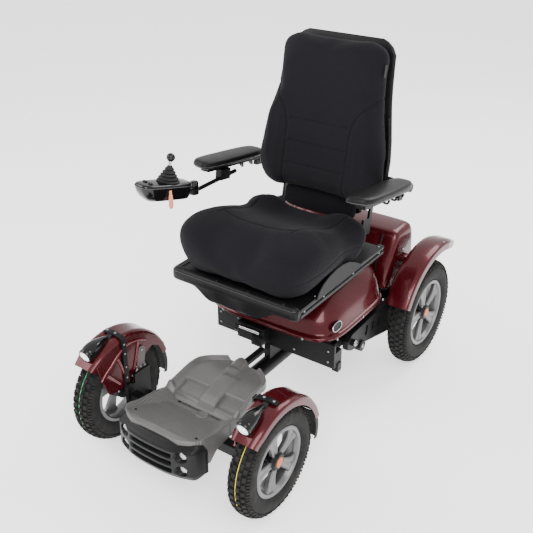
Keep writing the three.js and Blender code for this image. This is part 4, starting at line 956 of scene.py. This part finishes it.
def make_chassis_details():
    made = Builder()
    for x, z in ((0.245, 0.26), (0.245, 0.3), (0.115, 0.26), (-0.19, 0.26), (-0.19, 0.3), (-0.115, 0.3)):
        made.bolt((x, PLATE_FRONT, z), (0, -1, 0), 0.004)
    made.tube([(x, -0.13, 0.302) for x in (-0.078, -0.04, 0.004)], 0.0056, 14, look=1)
    made.build("chassis_bolts", "chassis", ["steel", "chrome"])
    ribs = Builder()
    for k in range(5):
        x = -0.024 + 0.008 * k
        ribs.tube([(x, -0.1322, 0.254), (x, -0.1325, 0.266), (x, -0.1322, 0.279)], 0.0012, 8)
    ribs.build("module_cover_ribs", "chassis", ["plastic"])


def make_drive_bolts():
    """Bolts on the swing arms, each with its place and radius."""
    bolts = [(0.262, 0.062, 0.258, 0.011), (0.258, 0.124, 0.212, 0.008), (0.2505, 0.34, 0.225, 0.006),
             (0.2505, 0.4, 0.16, 0.006)]
    for side, sign in SIDES.items():
        made = Builder()
        for x, y, z, radius in bolts:
            made.bolt((sign * x, y, z), (sign, 0, 0), radius)
        made.build(f"swing_arm_bolts_{side}", f"drive_{side}", ["steel"])


def make_strap_bolts():
    for side, sign in SIDES.items():
        made = Builder()
        hub = middle(f"front_tyre_{side}")
        y = hub.y - 0.007
        for height in (0.06, 0.1, 0.15, 0.185):
            made.bolt((sign * 0.2498, y, hub.z + height), (-sign, 0, 0), 0.0036)
        for x in (0.285, 0.318):
            made.bolt((sign * x, y, hub.z + 0.2155), (0, 0, 1), 0.0042)
        made.build(f"strap_bolts_{side}", f"knuckle_{side}", ["steel"])


def make_seat_details():
    made = Builder()
    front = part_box("seat_frame")[0].y
    for sign in SIDES.values():
        face = sign * (RAIL_X + 0.0102)
        # Light grey lines along the rail's grooves: painted highlights, not parts.
        for z in RAIL_GROOVE_HIGHLIGHTS:
            made.tube([(face, front + 0.004, z), (face, 0.0, z), (face, RAIL_REAR, z)], 0.0011, 8, look=1)
        for y in (front + 0.022, -0.12, 0.06, 0.235):
            made.bolt((sign * (RAIL_X + 0.0072), y, 0.52), (sign, 0, 0), 0.0042)
        for y in (-0.16, -0.11, 0.245):
            made.bolt((sign * RAIL_X, y, RAIL_TOP), (0, 0, 1), 0.0036)
    made.build("seat_rail_hardware", "seat", ["steel", "piping"])
    guard = Builder()
    outline = [(-0.168, 0.53), (-0.16, 0.548), (-0.135, 0.568), (-0.1, 0.581), (-0.06, 0.588),
               (-0.02, 0.588), (0.02, 0.58), (0.06, 0.562), (0.088, 0.545), (0.105, 0.53)]
    for sign in SIDES.values():
        guard.prism(outline, side_plane(sign * (RAIL_X + 0.0126) - 0.002), 0.004, chamfer=0.001)
    guard.build("seat_side_guards", "seat", ["guard"])


def trim_front(end):
    """Foremost y of the trim, drawn back by end, which goes from 0 to 1 at the corners."""
    return TRIM_BACK - 0.026 + 0.012 * end ** 2


def trim_ring(x):
    """One section of the trim at x: lower in the middle, and rounded in at its ends."""
    end = ease(TRIM_TURN, 1.0, abs(x) / TRIM_HALF)
    belly = 1 - ease(0.085, 0.165, abs(x))
    bottom = 0.499 + 0.008 * end - 0.037 * belly
    top = 0.545 - 0.008 * end
    front = trim_front(end)
    swell = 0.003 * cos(x * 60) * belly
    ring = [(TRIM_BACK, bottom + 0.002), (front + 0.01, bottom), (front + 0.006 + swell, bottom + 0.01),
            (front + 0.005, 0.503), (front, 0.51), (front, top - 0.012), (front + 0.003, top - 0.004),
            (front + 0.01, top), (TRIM_BACK - 0.003, top), (TRIM_BACK, top - 0.003)]
    return [Vector((x, y, z)) for y, z in ring]


def make_front_trim():
    made = Builder()
    stations = 60
    made.loft([trim_ring(TRIM_HALF * (2 * k / stations - 1)) for k in range(stations + 1)])
    pocket = [(-0.15, 0.503), (-0.112, 0.478), (-0.066, 0.461), (0.066, 0.461), (0.112, 0.478),
              (0.15, 0.503)]
    made.prism(pocket, front_plane(TRIM_BACK), 0.058, chamfer=0.004)
    for x in (-0.19, -0.06, 0.06, 0.19):
        made.bolt((x, TRIM_BACK - 0.014, 0.5448), (0, 0, 1), 0.004, look=1)
    line = [(x, trim_front(ease(TRIM_TURN, 1.0, abs(x) / TRIM_HALF)) - 0.0002, 0.5355)
            for x in np.linspace(-TRIM_HALF + 0.005, TRIM_HALF - 0.005, 40)]
    made.tube(line, 0.0009, 8, look=2)
    made.build("front_trim_moulded", "seat", ["plastic", "frame", "piping"], 40,
               ["front_trim"])


# ---- Soft goods -------------------------------------------------------------------------
SEAT_HALF = 0.252
SEAT_GUARDED = 0.05
SEAT_SEAM_FLOOR = 0.06
BACK_MIDDLE = -0.044
BACK_SEAM_Y = -0.03
# Share of the height and share of the outline of each ring up the seat cushion's side.
SEAT_SHARES = [(0.0, 0.86), (0.12, 0.915), (0.3, 0.955), (0.48, 0.985), (0.66, 1.0), (0.85, 0.98),
               (0.95, 0.92), (1.0, 0.82), (1.0, 0.66), (1.0, 0.5), (1.0, 0.34), (1.0, 0.18), (1.0, 0.06)]
# Half width of the back at heights above its pivot.
BACK_LEVELS = [(0.098, 0.156), (0.124, 0.2), (0.16, 0.225), (0.2, 0.234), (0.27, 0.234),
               (0.345, 0.224), (0.42, 0.209), (0.51, 0.2), (0.592, 0.195), (0.625, 0.176),
               (0.64, 0.14)]
BACK_WING_HALF = 0.2362
# The sewn line down each side of the back's front face, as (x, z) points.
BACK_SEAM = [(0.196, 0.465), (0.168, 0.425), (0.141, 0.395), (0.126, 0.365), (0.12, 0.33), (0.119, 0.25),
             (0.118, 0.125)]
BACK_CHANNELS = (0.352, 0.277, 0.202)
BACK_HEIGHTS = [0.099, 0.105, 0.122, 0.152, 0.19, 0.24, 0.28, 0.32, 0.36, 0.4, 0.45, 0.5, 0.55, 0.594,
                0.62, 0.635, 0.642]


def bake_modifiers(obj):
    dg = bpy.context.evaluated_depsgraph_get()
    done = bpy.data.meshes.new_from_object(obj.evaluated_get(dg))
    obj.modifiers.clear()
    obj.data = done


def coordinates(mesh):
    co = np.zeros(len(mesh.vertices) * 3)
    mesh.vertices.foreach_get("co", co)
    return co.reshape(-1, 3)


def set_coordinates(mesh, co):
    mesh.vertices.foreach_set("co", co.ravel())
    mesh.update()


def stuffed(name, rings, cap):
    """A closed form meshed evenly, swelled by at most cap and smoothed."""
    made = Builder()
    made.loft(rings)
    obj = object_of(name, made.verts, made.faces)
    bm = bmesh.new()
    bm.from_mesh(obj.data)
    bmesh.ops.recalc_face_normals(bm, faces=bm.faces)
    bm.to_mesh(obj.data)
    bm.free()
    grid = obj.modifiers.new("remesh", "REMESH")
    grid.mode = "VOXEL"
    grid.voxel_size = CLOTH_VOXEL
    grid.use_smooth_shade = True
    bake_modifiers(obj)
    inflate(obj, cap)
    return obj


def simulate(obj):
    """Runs the cloth simulation under pressure and keeps its last frame."""
    scene = bpy.context.scene
    cloth = obj.modifiers.new("cloth", "CLOTH")
    cloth.settings.quality = 5
    cloth.settings.use_pressure = True
    cloth.settings.uniform_pressure_force = CLOTH_PRESSURE
    cloth.settings.tension_stiffness = 15
    cloth.settings.bending_stiffness = 0.6
    cloth.settings.effector_weights.gravity = 0
    cloth.point_cache.frame_start = 1
    cloth.point_cache.frame_end = CLOTH_FRAMES
    for step in range(1, CLOTH_FRAMES + 1):
        scene.frame_set(step)
    bake_modifiers(obj)
    scene.frame_set(1)
    return coordinates(obj.data)


def inflate(obj, cap):
    """Swells a closed mesh like a stuffed cover; no point moves more than cap."""
    start = coordinates(obj.data)
    co = simulate(obj)
    moved = co - start
    length = np.linalg.norm(moved, axis=1, keepdims=True)
    moved *= np.minimum(1.0, cap / np.maximum(length, 1e-9))
    set_coordinates(obj.data, start + moved)
    calm = obj.modifiers.new("calm", "SMOOTH")
    calm.factor = 0.5
    calm.iterations = CREASE_SMOOTHING
    bake_modifiers(obj)


def refine(obj, co):
    """Takes the new coordinates and divides the mesh once for the seams."""
    obj.data.vertices.foreach_set("co", co.ravel())
    sub = obj.modifiers.new("refine", "SUBSURF")
    sub.levels = 1
    sub.render_levels = 1
    bake_modifiers(obj)


def groove(obj, distance, depth, width):
    """Sinks a sewn line: distance gives each point's distance from the line, or None."""
    normals = np.array([v.normal for v in obj.data.vertices])
    co = coordinates(obj.data)
    for i, p in enumerate(co):
        d = distance(p)
        if d is not None and d < 3 * width:
            co[i] -= normals[i] * depth * bell(d, 0, width)
    set_coordinates(obj.data, co)


def finish_soft(obj, body, replaced):
    obj.data.materials.clear()
    obj.data.materials.append(LOOKS["fabric"])
    for polygon in obj.data.polygons:
        polygon.use_smooth = True
        polygon.material_index = 0
    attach(obj, body)
    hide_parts(replaced)


def seat_top(x, y):
    """Height of the seat cushion above its base: a high front roll, a dished middle, hip humps."""
    front = 1 - ease(-0.17, 0.1, y)
    height = 0.087 + 0.062 * front
    hips = ease(0.05, 0.13, abs(x)) * (1 - 0.5 * ease(0.205, 0.245, abs(x)))
    height += 0.036 * hips * bell(y, 0.155, 0.062)
    height += 0.012 * ease(0.06, 0.16, abs(x)) * front
    height -= 0.01 * bell(x, 0, 0.1) * (1 - front)
    return height


def seat_rings(half, front, rear, base):
    centre = (front + rear) / 2
    outline = superellipse(half, (rear - front) / 2, 5.0, 96)
    return [[Vector((a * scale, centre + b * scale, base + share * seat_top(a * scale, centre + b * scale)))
             for a, b in outline] for share, scale in SEAT_SHARES]


def make_seat_cushion():
    low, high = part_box("seat_cushion")
    base = low.z + 0.002
    half = (high.x - low.x) / 2 - 0.004
    obj = stuffed("seat_cushion_padded", seat_rings(half, low.y + 0.006, high.y - 0.006, base), 0.024)
    co = coordinates(obj.data)
    co[:, 2] = np.maximum(co[:, 2], low.z - 0.001)
    co[:, 0] *= SEAT_HALF / np.abs(co[:, 0]).max()
    beside_guard = co[:, 2] < base + SEAT_GUARDED  # the lower part stays between the side guards
    limit = RAIL_X + 0.0075
    co[beside_guard, 0] = np.clip(co[beside_guard, 0], -limit, limit)
    refine(obj, co)

    def top_seams(p):
        if p[2] < base + SEAT_SEAM_FLOOR:
            return None
        side = abs(abs(p[0]) - 0.138 - 0.03 * ease(-0.05, 0.16, p[1]))
        cross = abs(p[1] + 0.15 - 0.03 * (p[0] / 0.16) ** 2)
        return min(side if p[1] > -0.152 else 1.0, cross if abs(p[0]) < 0.142 else 1.0)

    def wall_seam(p):
        arch = 0.062 + 0.022 * cos((p[1] + 0.1) * 9)
        return abs(p[2] - base - arch) if abs(p[0]) > half - 0.03 else None

    groove(obj, top_seams, 0.0034, 0.0036)
    groove(obj, wall_seam, 0.0018, 0.003)
    finish_soft(obj, "seat", "seat_cushion")


def back_half(z):
    """Half width of the back at a height."""
    return float(np.interp(z, *zip(*BACK_LEVELS)))


def back_frame():
    return Matrix.Translation(BACK_PIVOT) @ spin(-BACK_RECLINE, "X")


def back_ring(z):
    """One level of the back cushion before it is stuffed, with wings at the sides of the lower part."""
    half = back_half(z) - 0.003
    end = max(1 - ease(0.102, 0.136, z), ease(0.602, 0.646, z))
    wing = 0.017 * (1 - ease(0.36, 0.47, z))
    ring = []
    for a, b in superellipse(half, 0.031 * (1 - 0.45 * end ** 2), 4.0, 72):
        y = BACK_MIDDLE + b
        if b < 0:
            y -= wing * ease(0.45, 0.85, abs(a) / half) - 0.004 * bell(a, 0, 0.08)
        ring.append(Vector((a, y, z)))
    return ring


def line_distance(x, z, line):
    """Distance from a point to a line of straight pieces."""
    nearest = 1.0
    for (ax, az), (bx, bz) in zip(line, line[1:]):
        along_x, along_z = bx - ax, bz - az
        t = ((x - ax) * along_x + (z - az) * along_z) / (along_x ** 2 + along_z ** 2)
        t = min(max(t, 0.0), 1.0)
        nearest = min(nearest, hypot(x - ax - t * along_x, z - az - t * along_z))
    return nearest


def back_face_seams(p):
    if p[1] > BACK_SEAM_Y:
        return None
    x, z = abs(p[0]), p[2]
    channel = min(abs(z - level) for level in BACK_CHANNELS) if x < 0.112 else 1.0
    return min(line_distance(x, z, BACK_SEAM), channel)


def back_border_seam(p):
    return abs(p[1] - BACK_SEAM_Y) if abs(p[0]) > back_half(p[2]) - 0.03 or p[2] > 0.62 else None


def make_back_cushion():
    obj = stuffed("back_cushion_padded", [back_ring(z) for z in BACK_HEIGHTS], 0.02)
    co = coordinates(obj.data)
    co[:, 0] *= BACK_WING_HALF / np.abs(co[:, 0]).max()
    co[:, 1] = np.clip(co[:, 1], -0.1, -0.003)
    refine(obj, co)
    groove(obj, back_face_seams, 0.0036, 0.0036)
    groove(obj, back_border_seam, 0.002, 0.003)
    obj.data.transform(back_frame())
    finish_soft(obj, "back", "back_cushion")


# ---- Back and armrests ------------------------------------------------------------------
SHELL_HEIGHTS = (0.098, 0.102, 0.12, 0.16, 0.2, 0.26, 0.32, 0.38, 0.44, 0.5, 0.55, 0.592, 0.615, 0.63,
                 0.638)
PAD_SEAM = 0.0085
PAD_SLANT = 0.08
PAD_TAPER_FROM = 0.15
# Height and inset of each ring of an arm pad.
PAD_LEVELS = [(0.0, 0.01), (0.0015, 0.005), (0.0045, 0.0015), (0.009, 0.0), (0.0145, 0.0),
              (0.0195, 0.0014), (0.0235, 0.005), (0.0255, 0.01), (0.0265, 0.018), (0.0272, 0.028),
              (0.0275, 0.038)]


def make_back_shell(at):
    made = Builder()
    rings = []
    for z in SHELL_HEIGHTS:
        end = max(1 - ease(0.098, 0.116, z), ease(0.624, 0.64, z))
        ring = []
        for a, b in superellipse(back_half(z) - 0.006, 0.01 * (1 - 0.4 * end), 4.5, 64):
            rib = 0.0022 * bell(abs(a), 0.1, 0.008) if b > 0 else 0
            ring.append(at @ Vector((a, 0.009 + b + rib, z)))
        rings.append(ring)
    made.loft(rings)
    chin = at @ move(0, 0.0175, 0.092) @ front_plane(0, -1)
    made.prism(superellipse(0.15, 0.035, 6, 48), chin, 0.0155, chamfer=0.003)
    for x in (-0.12, 0.12):
        for z in (0.188, 0.3, 0.48, 0.58):
            made.bolt(at @ Vector((x, 0.0192, z)), at.to_3x3() @ Vector((0, 1, 0)), 0.005, look=1)
    made.build("back_shell_moulded", "back", ["plastic", "steel"], 45, ["back_shell"])


def make_back_details():
    at = back_frame()
    make_back_shell(at)
    strips = Builder()
    for sign in SIDES.values():
        for k in range(3):
            edge = [at @ Vector((sign * (back_half(z) - 0.001), -0.012 - 0.0052 * k, z))
                    for z in np.linspace(0.19, 0.4, 12)]
            strips.tube(edge, 0.0024, 8)
    strips.build("back_side_ribs", "back", ["plastic"])
    skirt = Builder()
    skirt.prism(superellipse(0.14, 0.04, 5, 48), at @ move(0, -0.004, 0.078) @ front_plane(0, -1), 0.024,
                chamfer=0.006)
    skirt.build("back_skirt", "back", ["fabric"], 60)
    tag = Builder()
    z = 0.545
    edge_on = at @ move(back_half(z) - 0.004, -0.06, z) @ spin(QUARTER, "Y") @ spin(QUARTER, "Z")
    tag.prism(superellipse(0.0055, 0.02, 8, 20), edge_on, 0.0016, chamfer=0.0003)
    tag.build("back_tag", "back", ["guard"])


def pad_outline(half, front, length, inset):
    """Outline of an arm pad in plan, with a blunt slanted front."""
    points = []
    for a, b in superellipse(half - inset, length / 2 - inset, 4.2, 72):
        y = front + length / 2 + b
        slant = 0.012 * (a / half) * ease(front + PAD_SLANT, front, y) if y < front + PAD_SLANT else 0.0
        taper = 1 - 0.06 * ease(front + PAD_TAPER_FROM, front + length, y)
        points.append((a * taper, y + slant))
    return points


def arm_frame(side):
    """Frame of one armrest: its rear pin is the origin and it rises towards the front."""
    return move(SIDES[side] * ARM_X, ARM_PIVOT.y, ARM_PIVOT.z) @ spin(-ARM_TILT, "X")


def pad_ring(side, z, inset):
    at = arm_frame(side)
    outline = pad_outline(PAD_HALF, PAD_FRONTS[side] - ARM_PIVOT.y, PAD_LENGTH, inset)
    return [at @ Vector((SIDES[side] * a, y, PAD_BASE + z)) for a, y in outline]


def make_arm_pad(side):
    made = Builder()
    made.loft([pad_ring(side, z, inset) for z, inset in PAD_LEVELS])
    pad = made.build(f"arm_pad_{side}_moulded", f"armrest_{side}", ["pad"], 60,
                     [f"arm_pad_{side}"])
    trim = Builder()
    trim.hoop(pad_ring(side, PAD_SEAM, -0.0002), 0.0011)
    trim.build(f"arm_pad_{side}_piping", f"armrest_{side}", ["piping"])


def make_arm_hardware(side):
    """Screws and hooks under an arm pad."""
    sign = SIDES[side]
    at = arm_frame(side)
    hardware = Builder()
    for y in (-0.158, -0.103, -0.056):
        hardware.bolt(at @ Vector((sign * 0.0165, y, -0.001)), (sign, 0, 0), 0.005)
        hook = [(-0.009, y, -0.011), (-0.005, y + 0.008, -0.024), (0.005, y + 0.014, -0.026),
                (0.011, y + 0.012, -0.015)]
        hardware.tube(spline([at @ Vector((sign * a, b, c)) for a, b, c in hook], 6), 0.004, 10, look=1)
    hardware.build(f"armrest_{side}_hardware", f"armrest_{side}", ["steel", "gloss"])


# ---- Joystick ---------------------------------------------------------------------------
# Height, half width, front y and rear y of each level of the housing.
HOUSING_LEVELS = [(-0.032, 0.024, -0.182, -0.036), (-0.0305, 0.03, -0.192, -0.031),
                  (-0.019, 0.035, -0.205, -0.027), (-0.006, 0.038, -0.214, -0.026),
                  (0.01, 0.039, -0.221, -0.026), (0.0165, 0.0388, -0.221, -0.0265),
                  (0.0205, 0.036, -0.218, -0.029), (0.022, 0.031, -0.213, -0.034)]
WELL_RADIUS = 0.0272  # the round opening under the gaiter
# Height along the stick and radius of each fold of the gaiter; the gimbal's ring is at GAITER_SPLIT.
FOLDS = [(0.0226, 0.0365), (0.026, 0.0372), (0.0285, 0.0335), (0.031, 0.0295), (0.0335, 0.033),
         (0.036, 0.032), (0.038, 0.027), (0.0405, 0.024), (0.043, 0.0272), (0.0455, 0.0262),
         (0.048, 0.0215), (0.0505, 0.0188), (0.053, 0.0218), (0.0555, 0.0205), (0.058, 0.016),
         (0.0605, 0.0136), (0.063, 0.0155), (0.0655, 0.014), (0.069, 0.0098), (0.074, 0.0078)]
GAITER_SPLIT = 8
GAITER_WALL = 0.0016


def stick_frame():
    return Matrix.Translation(STICK_ORIGIN) @ spin(-STICK_YAW, "Z") @ spin(-STICK_PITCH, "X")


def make_housing():
    at = stick_frame()
    made = Builder()
    rings = [[at @ p for p in ring] for ring in rounded_rings(HOUSING_LEVELS, 64, 4.0)]
    for z in (0.022, 0.0, -0.014):
        rings.append([at @ Vector((x, -STICK_REACH + y, z)) for x, y in circle(WELL_RADIUS, 64)])
    made.loft(rings)
    hinge = Matrix.Translation(STICK_ORIGIN) @ spin(-QUARTER, "Y")
    made.disc([(-0.0055, 0.0145), (-0.004, 0.0158), (0.013, 0.0158), (0.0155, 0.0135), (0.016, 0)], hinge)
    made.tube([at @ Vector((0, y, 0.005)) for y in (-0.04, -0.02, -0.004)], 0.011, 20)
    made.disc([(-0.03, 0.006), (-0.004, 0.006)], hinge, 20, look=1)
    made.hoop([at @ Vector((a * 0.0392, -0.1235 + b * 0.0982, 0.0125))
               for a, b in superellipse(1, 1, 4.0, 72)], 0.0011, look=2)
    for x in (-0.022, -0.008, 0.008, 0.022):
        made.disc([(0, 0.0022), (0.001, 0.0018), (0.0012, 0)],
                  at @ move(x, -0.165, 0.0215) @ spin(-QUARTER, "Y"), 12, look=2)
    made.build("joystick_housing_moulded", "joystick", ["gloss", "steel", "piping"], 48,
               ["joystick_housing"])


def make_stick():
    gimbal = stick_frame() @ move(0, -STICK_REACH, 0)
    upright = gimbal @ spin(-QUARTER, "Y")
    made = Builder()
    made.disc([(-0.008, 0.009), (0.014, 0.007)], upright, 20)
    made.disc([(0.013, 0.004), (0.078, 0.004), (0.08, 0.0062), (0.089, 0.0058)], upright, 24, look=1)
    ball = [(0.1 - 0.014 * cos(pi * k / 16), 0.014 * sin(pi * k / 16)) for k in range(16)]
    made.disc([*ball, (0.114, 0)], upright, 36, look=2)
    made.disc([(-0.019, 0.003), (0.019, 0.003)], gimbal @ move(0, 0, 0.002) @ spin(QUARTER, "Z"), 14)
    made.build("joystick_stick_turned", "stick", ["frame", "chrome", "gloss"], 45,
               ["joystick_stick"])


def make_bellows(name, profile):
    """One piece of the gaiter, turned from a profile of folds with a thin wall; it rides on no body."""
    at = stick_frame() @ move(0, -STICK_REACH, 0) @ spin(-QUARTER, "Y")
    inner = [(z, r - GAITER_WALL) for z, r in profile]
    made = Builder()
    made.lathe([*profile, *inner[::-1]], at, 40)
    obj = made.build(name, None, ["rubber"], 60)
    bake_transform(obj)
    return obj


def make_gaiter():
    """Bellows in two pieces, split at the gimbal's ring."""
    lower = make_bellows("stick_gaiter_lower", FOLDS[:GAITER_SPLIT + 1])
    make_bellows("stick_gaiter_upper", FOLDS[GAITER_SPLIT:])
    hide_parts("stick_gaiter")


def make_key_tag():
    centre = middle("key_tag")
    made = Builder()
    right = [(0.0, -0.062), (0.005, -0.06), (0.0088, -0.05), (0.0088, -0.04), (0.0065, -0.02),
             (0.0045, -0.008), (0.004, 0.0)]
    outline = [*[(-y, z) for y, z in right[:0:-1]], *right]
    hung = move(centre.x, centre.y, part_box("key_tag")[1].z) @ spin(-STICK_YAW, "Z") @ side_plane(-0.0012)
    made.prism(outline, hung, 0.0024, chamfer=0.0006)
    made.build("key_tag_strap", "tag", ["tag"], 50, ["key_tag"])


# ---- Stage ------------------------------------------------------------------------------
FLOOR_REACH = 12
# Place, size in metres and power in watts of each soft box.
SOFT_BOXES = [((2.2, -2.6, 3.4), 2.4, 150), ((-2.8, -1.8, 2.6), 2.2, 80), ((0.6, 2.6, 3.2), 2.0, 90)]
CAMERA_PLACE = (1.3373, -1.99, 1.78)
CAMERA_AZIMUTH = radians(35.06)
CAMERA_ELEVATION = radians(28.16)
CAMERA_LENS = 55.15


def make_floor():
    corners = [(-1, -1), (1, -1), (1, 1), (-1, 1)]
    floor = object_of("floor", [(FLOOR_REACH * x, FLOOR_REACH * y, 0) for x, y in corners], [[0, 1, 2, 3]])
    pale = surface("floor_pale", (0.93, 0.93, 0.93), 0.75, specular=0.1, grain=60, bump=0.01, blotch=0.01)
    set_inputs(principled(pale), {"Emission Color": (1, 1, 1, 1), "Emission Strength": 1.1})
    floor.data.materials.append(pale)
    floor.location.z = -0.0005


def make_light():
    world = bpy.data.worlds.new("studio")
    world.use_nodes = True
    set_inputs(world.node_tree.nodes["Background"], {"Color": (1, 1, 1, 1), "Strength": 1.15})
    bpy.context.scene.world = world
    for place, size, power in SOFT_BOXES:
        data = bpy.data.lights.new("softbox", "AREA")
        data.shape = "SQUARE"
        data.size = size
        data.energy = power
        lamp = bpy.data.objects.new("softbox", data)
        lamp.location = place
        aim = Vector((0, 0, 0.5)) - Vector(place)
        lamp.rotation_euler = aim.to_track_quat("-Z", "Y").to_euler()
        bpy.context.scene.collection.objects.link(lamp)


def make_camera():
    data = bpy.data.cameras.new("camera")
    data.sensor_width = 36
    data.lens = CAMERA_LENS
    camera = bpy.data.objects.new("camera", data)
    level = cos(CAMERA_ELEVATION)
    back = Vector((sin(CAMERA_AZIMUTH) * level, -cos(CAMERA_AZIMUTH) * level, sin(CAMERA_ELEVATION)))
    camera.location = CAMERA_PLACE
    camera.rotation_euler = (-back).to_track_quat("-Z", "Y").to_euler()
    bpy.context.scene.collection.objects.link(camera)
    bpy.context.scene.camera = camera


finish_cad_nodes()
make_floor()
make_light()
make_camera()
for side_name in SIDES:
    make_tyre("front", side_name, "yellow" if side_name == "left" else "green")
    make_tyre("rear", side_name, None)
    make_rim("front", side_name)
    make_rim("rear", side_name)
    for make_piece in (make_front_fender, make_oval_plate, make_mud_flap, make_rear_fender, make_headlight):
        make_piece(side_name)
for make_piece in (make_tray, make_bumper, make_shroud, make_shroud_rings, make_tower, make_rear_lamps,
                   make_chassis_details, make_drive_bolts, make_strap_bolts, make_seat_details,
                   make_front_trim, make_seat_cushion, make_back_cushion, make_back_details):
    make_piece()
for side_name in SIDES:
    make_arm_pad(side_name)
    make_arm_hardware(side_name)
for make_piece in (make_housing, make_stick, make_gaiter, make_key_tag):
    make_piece()
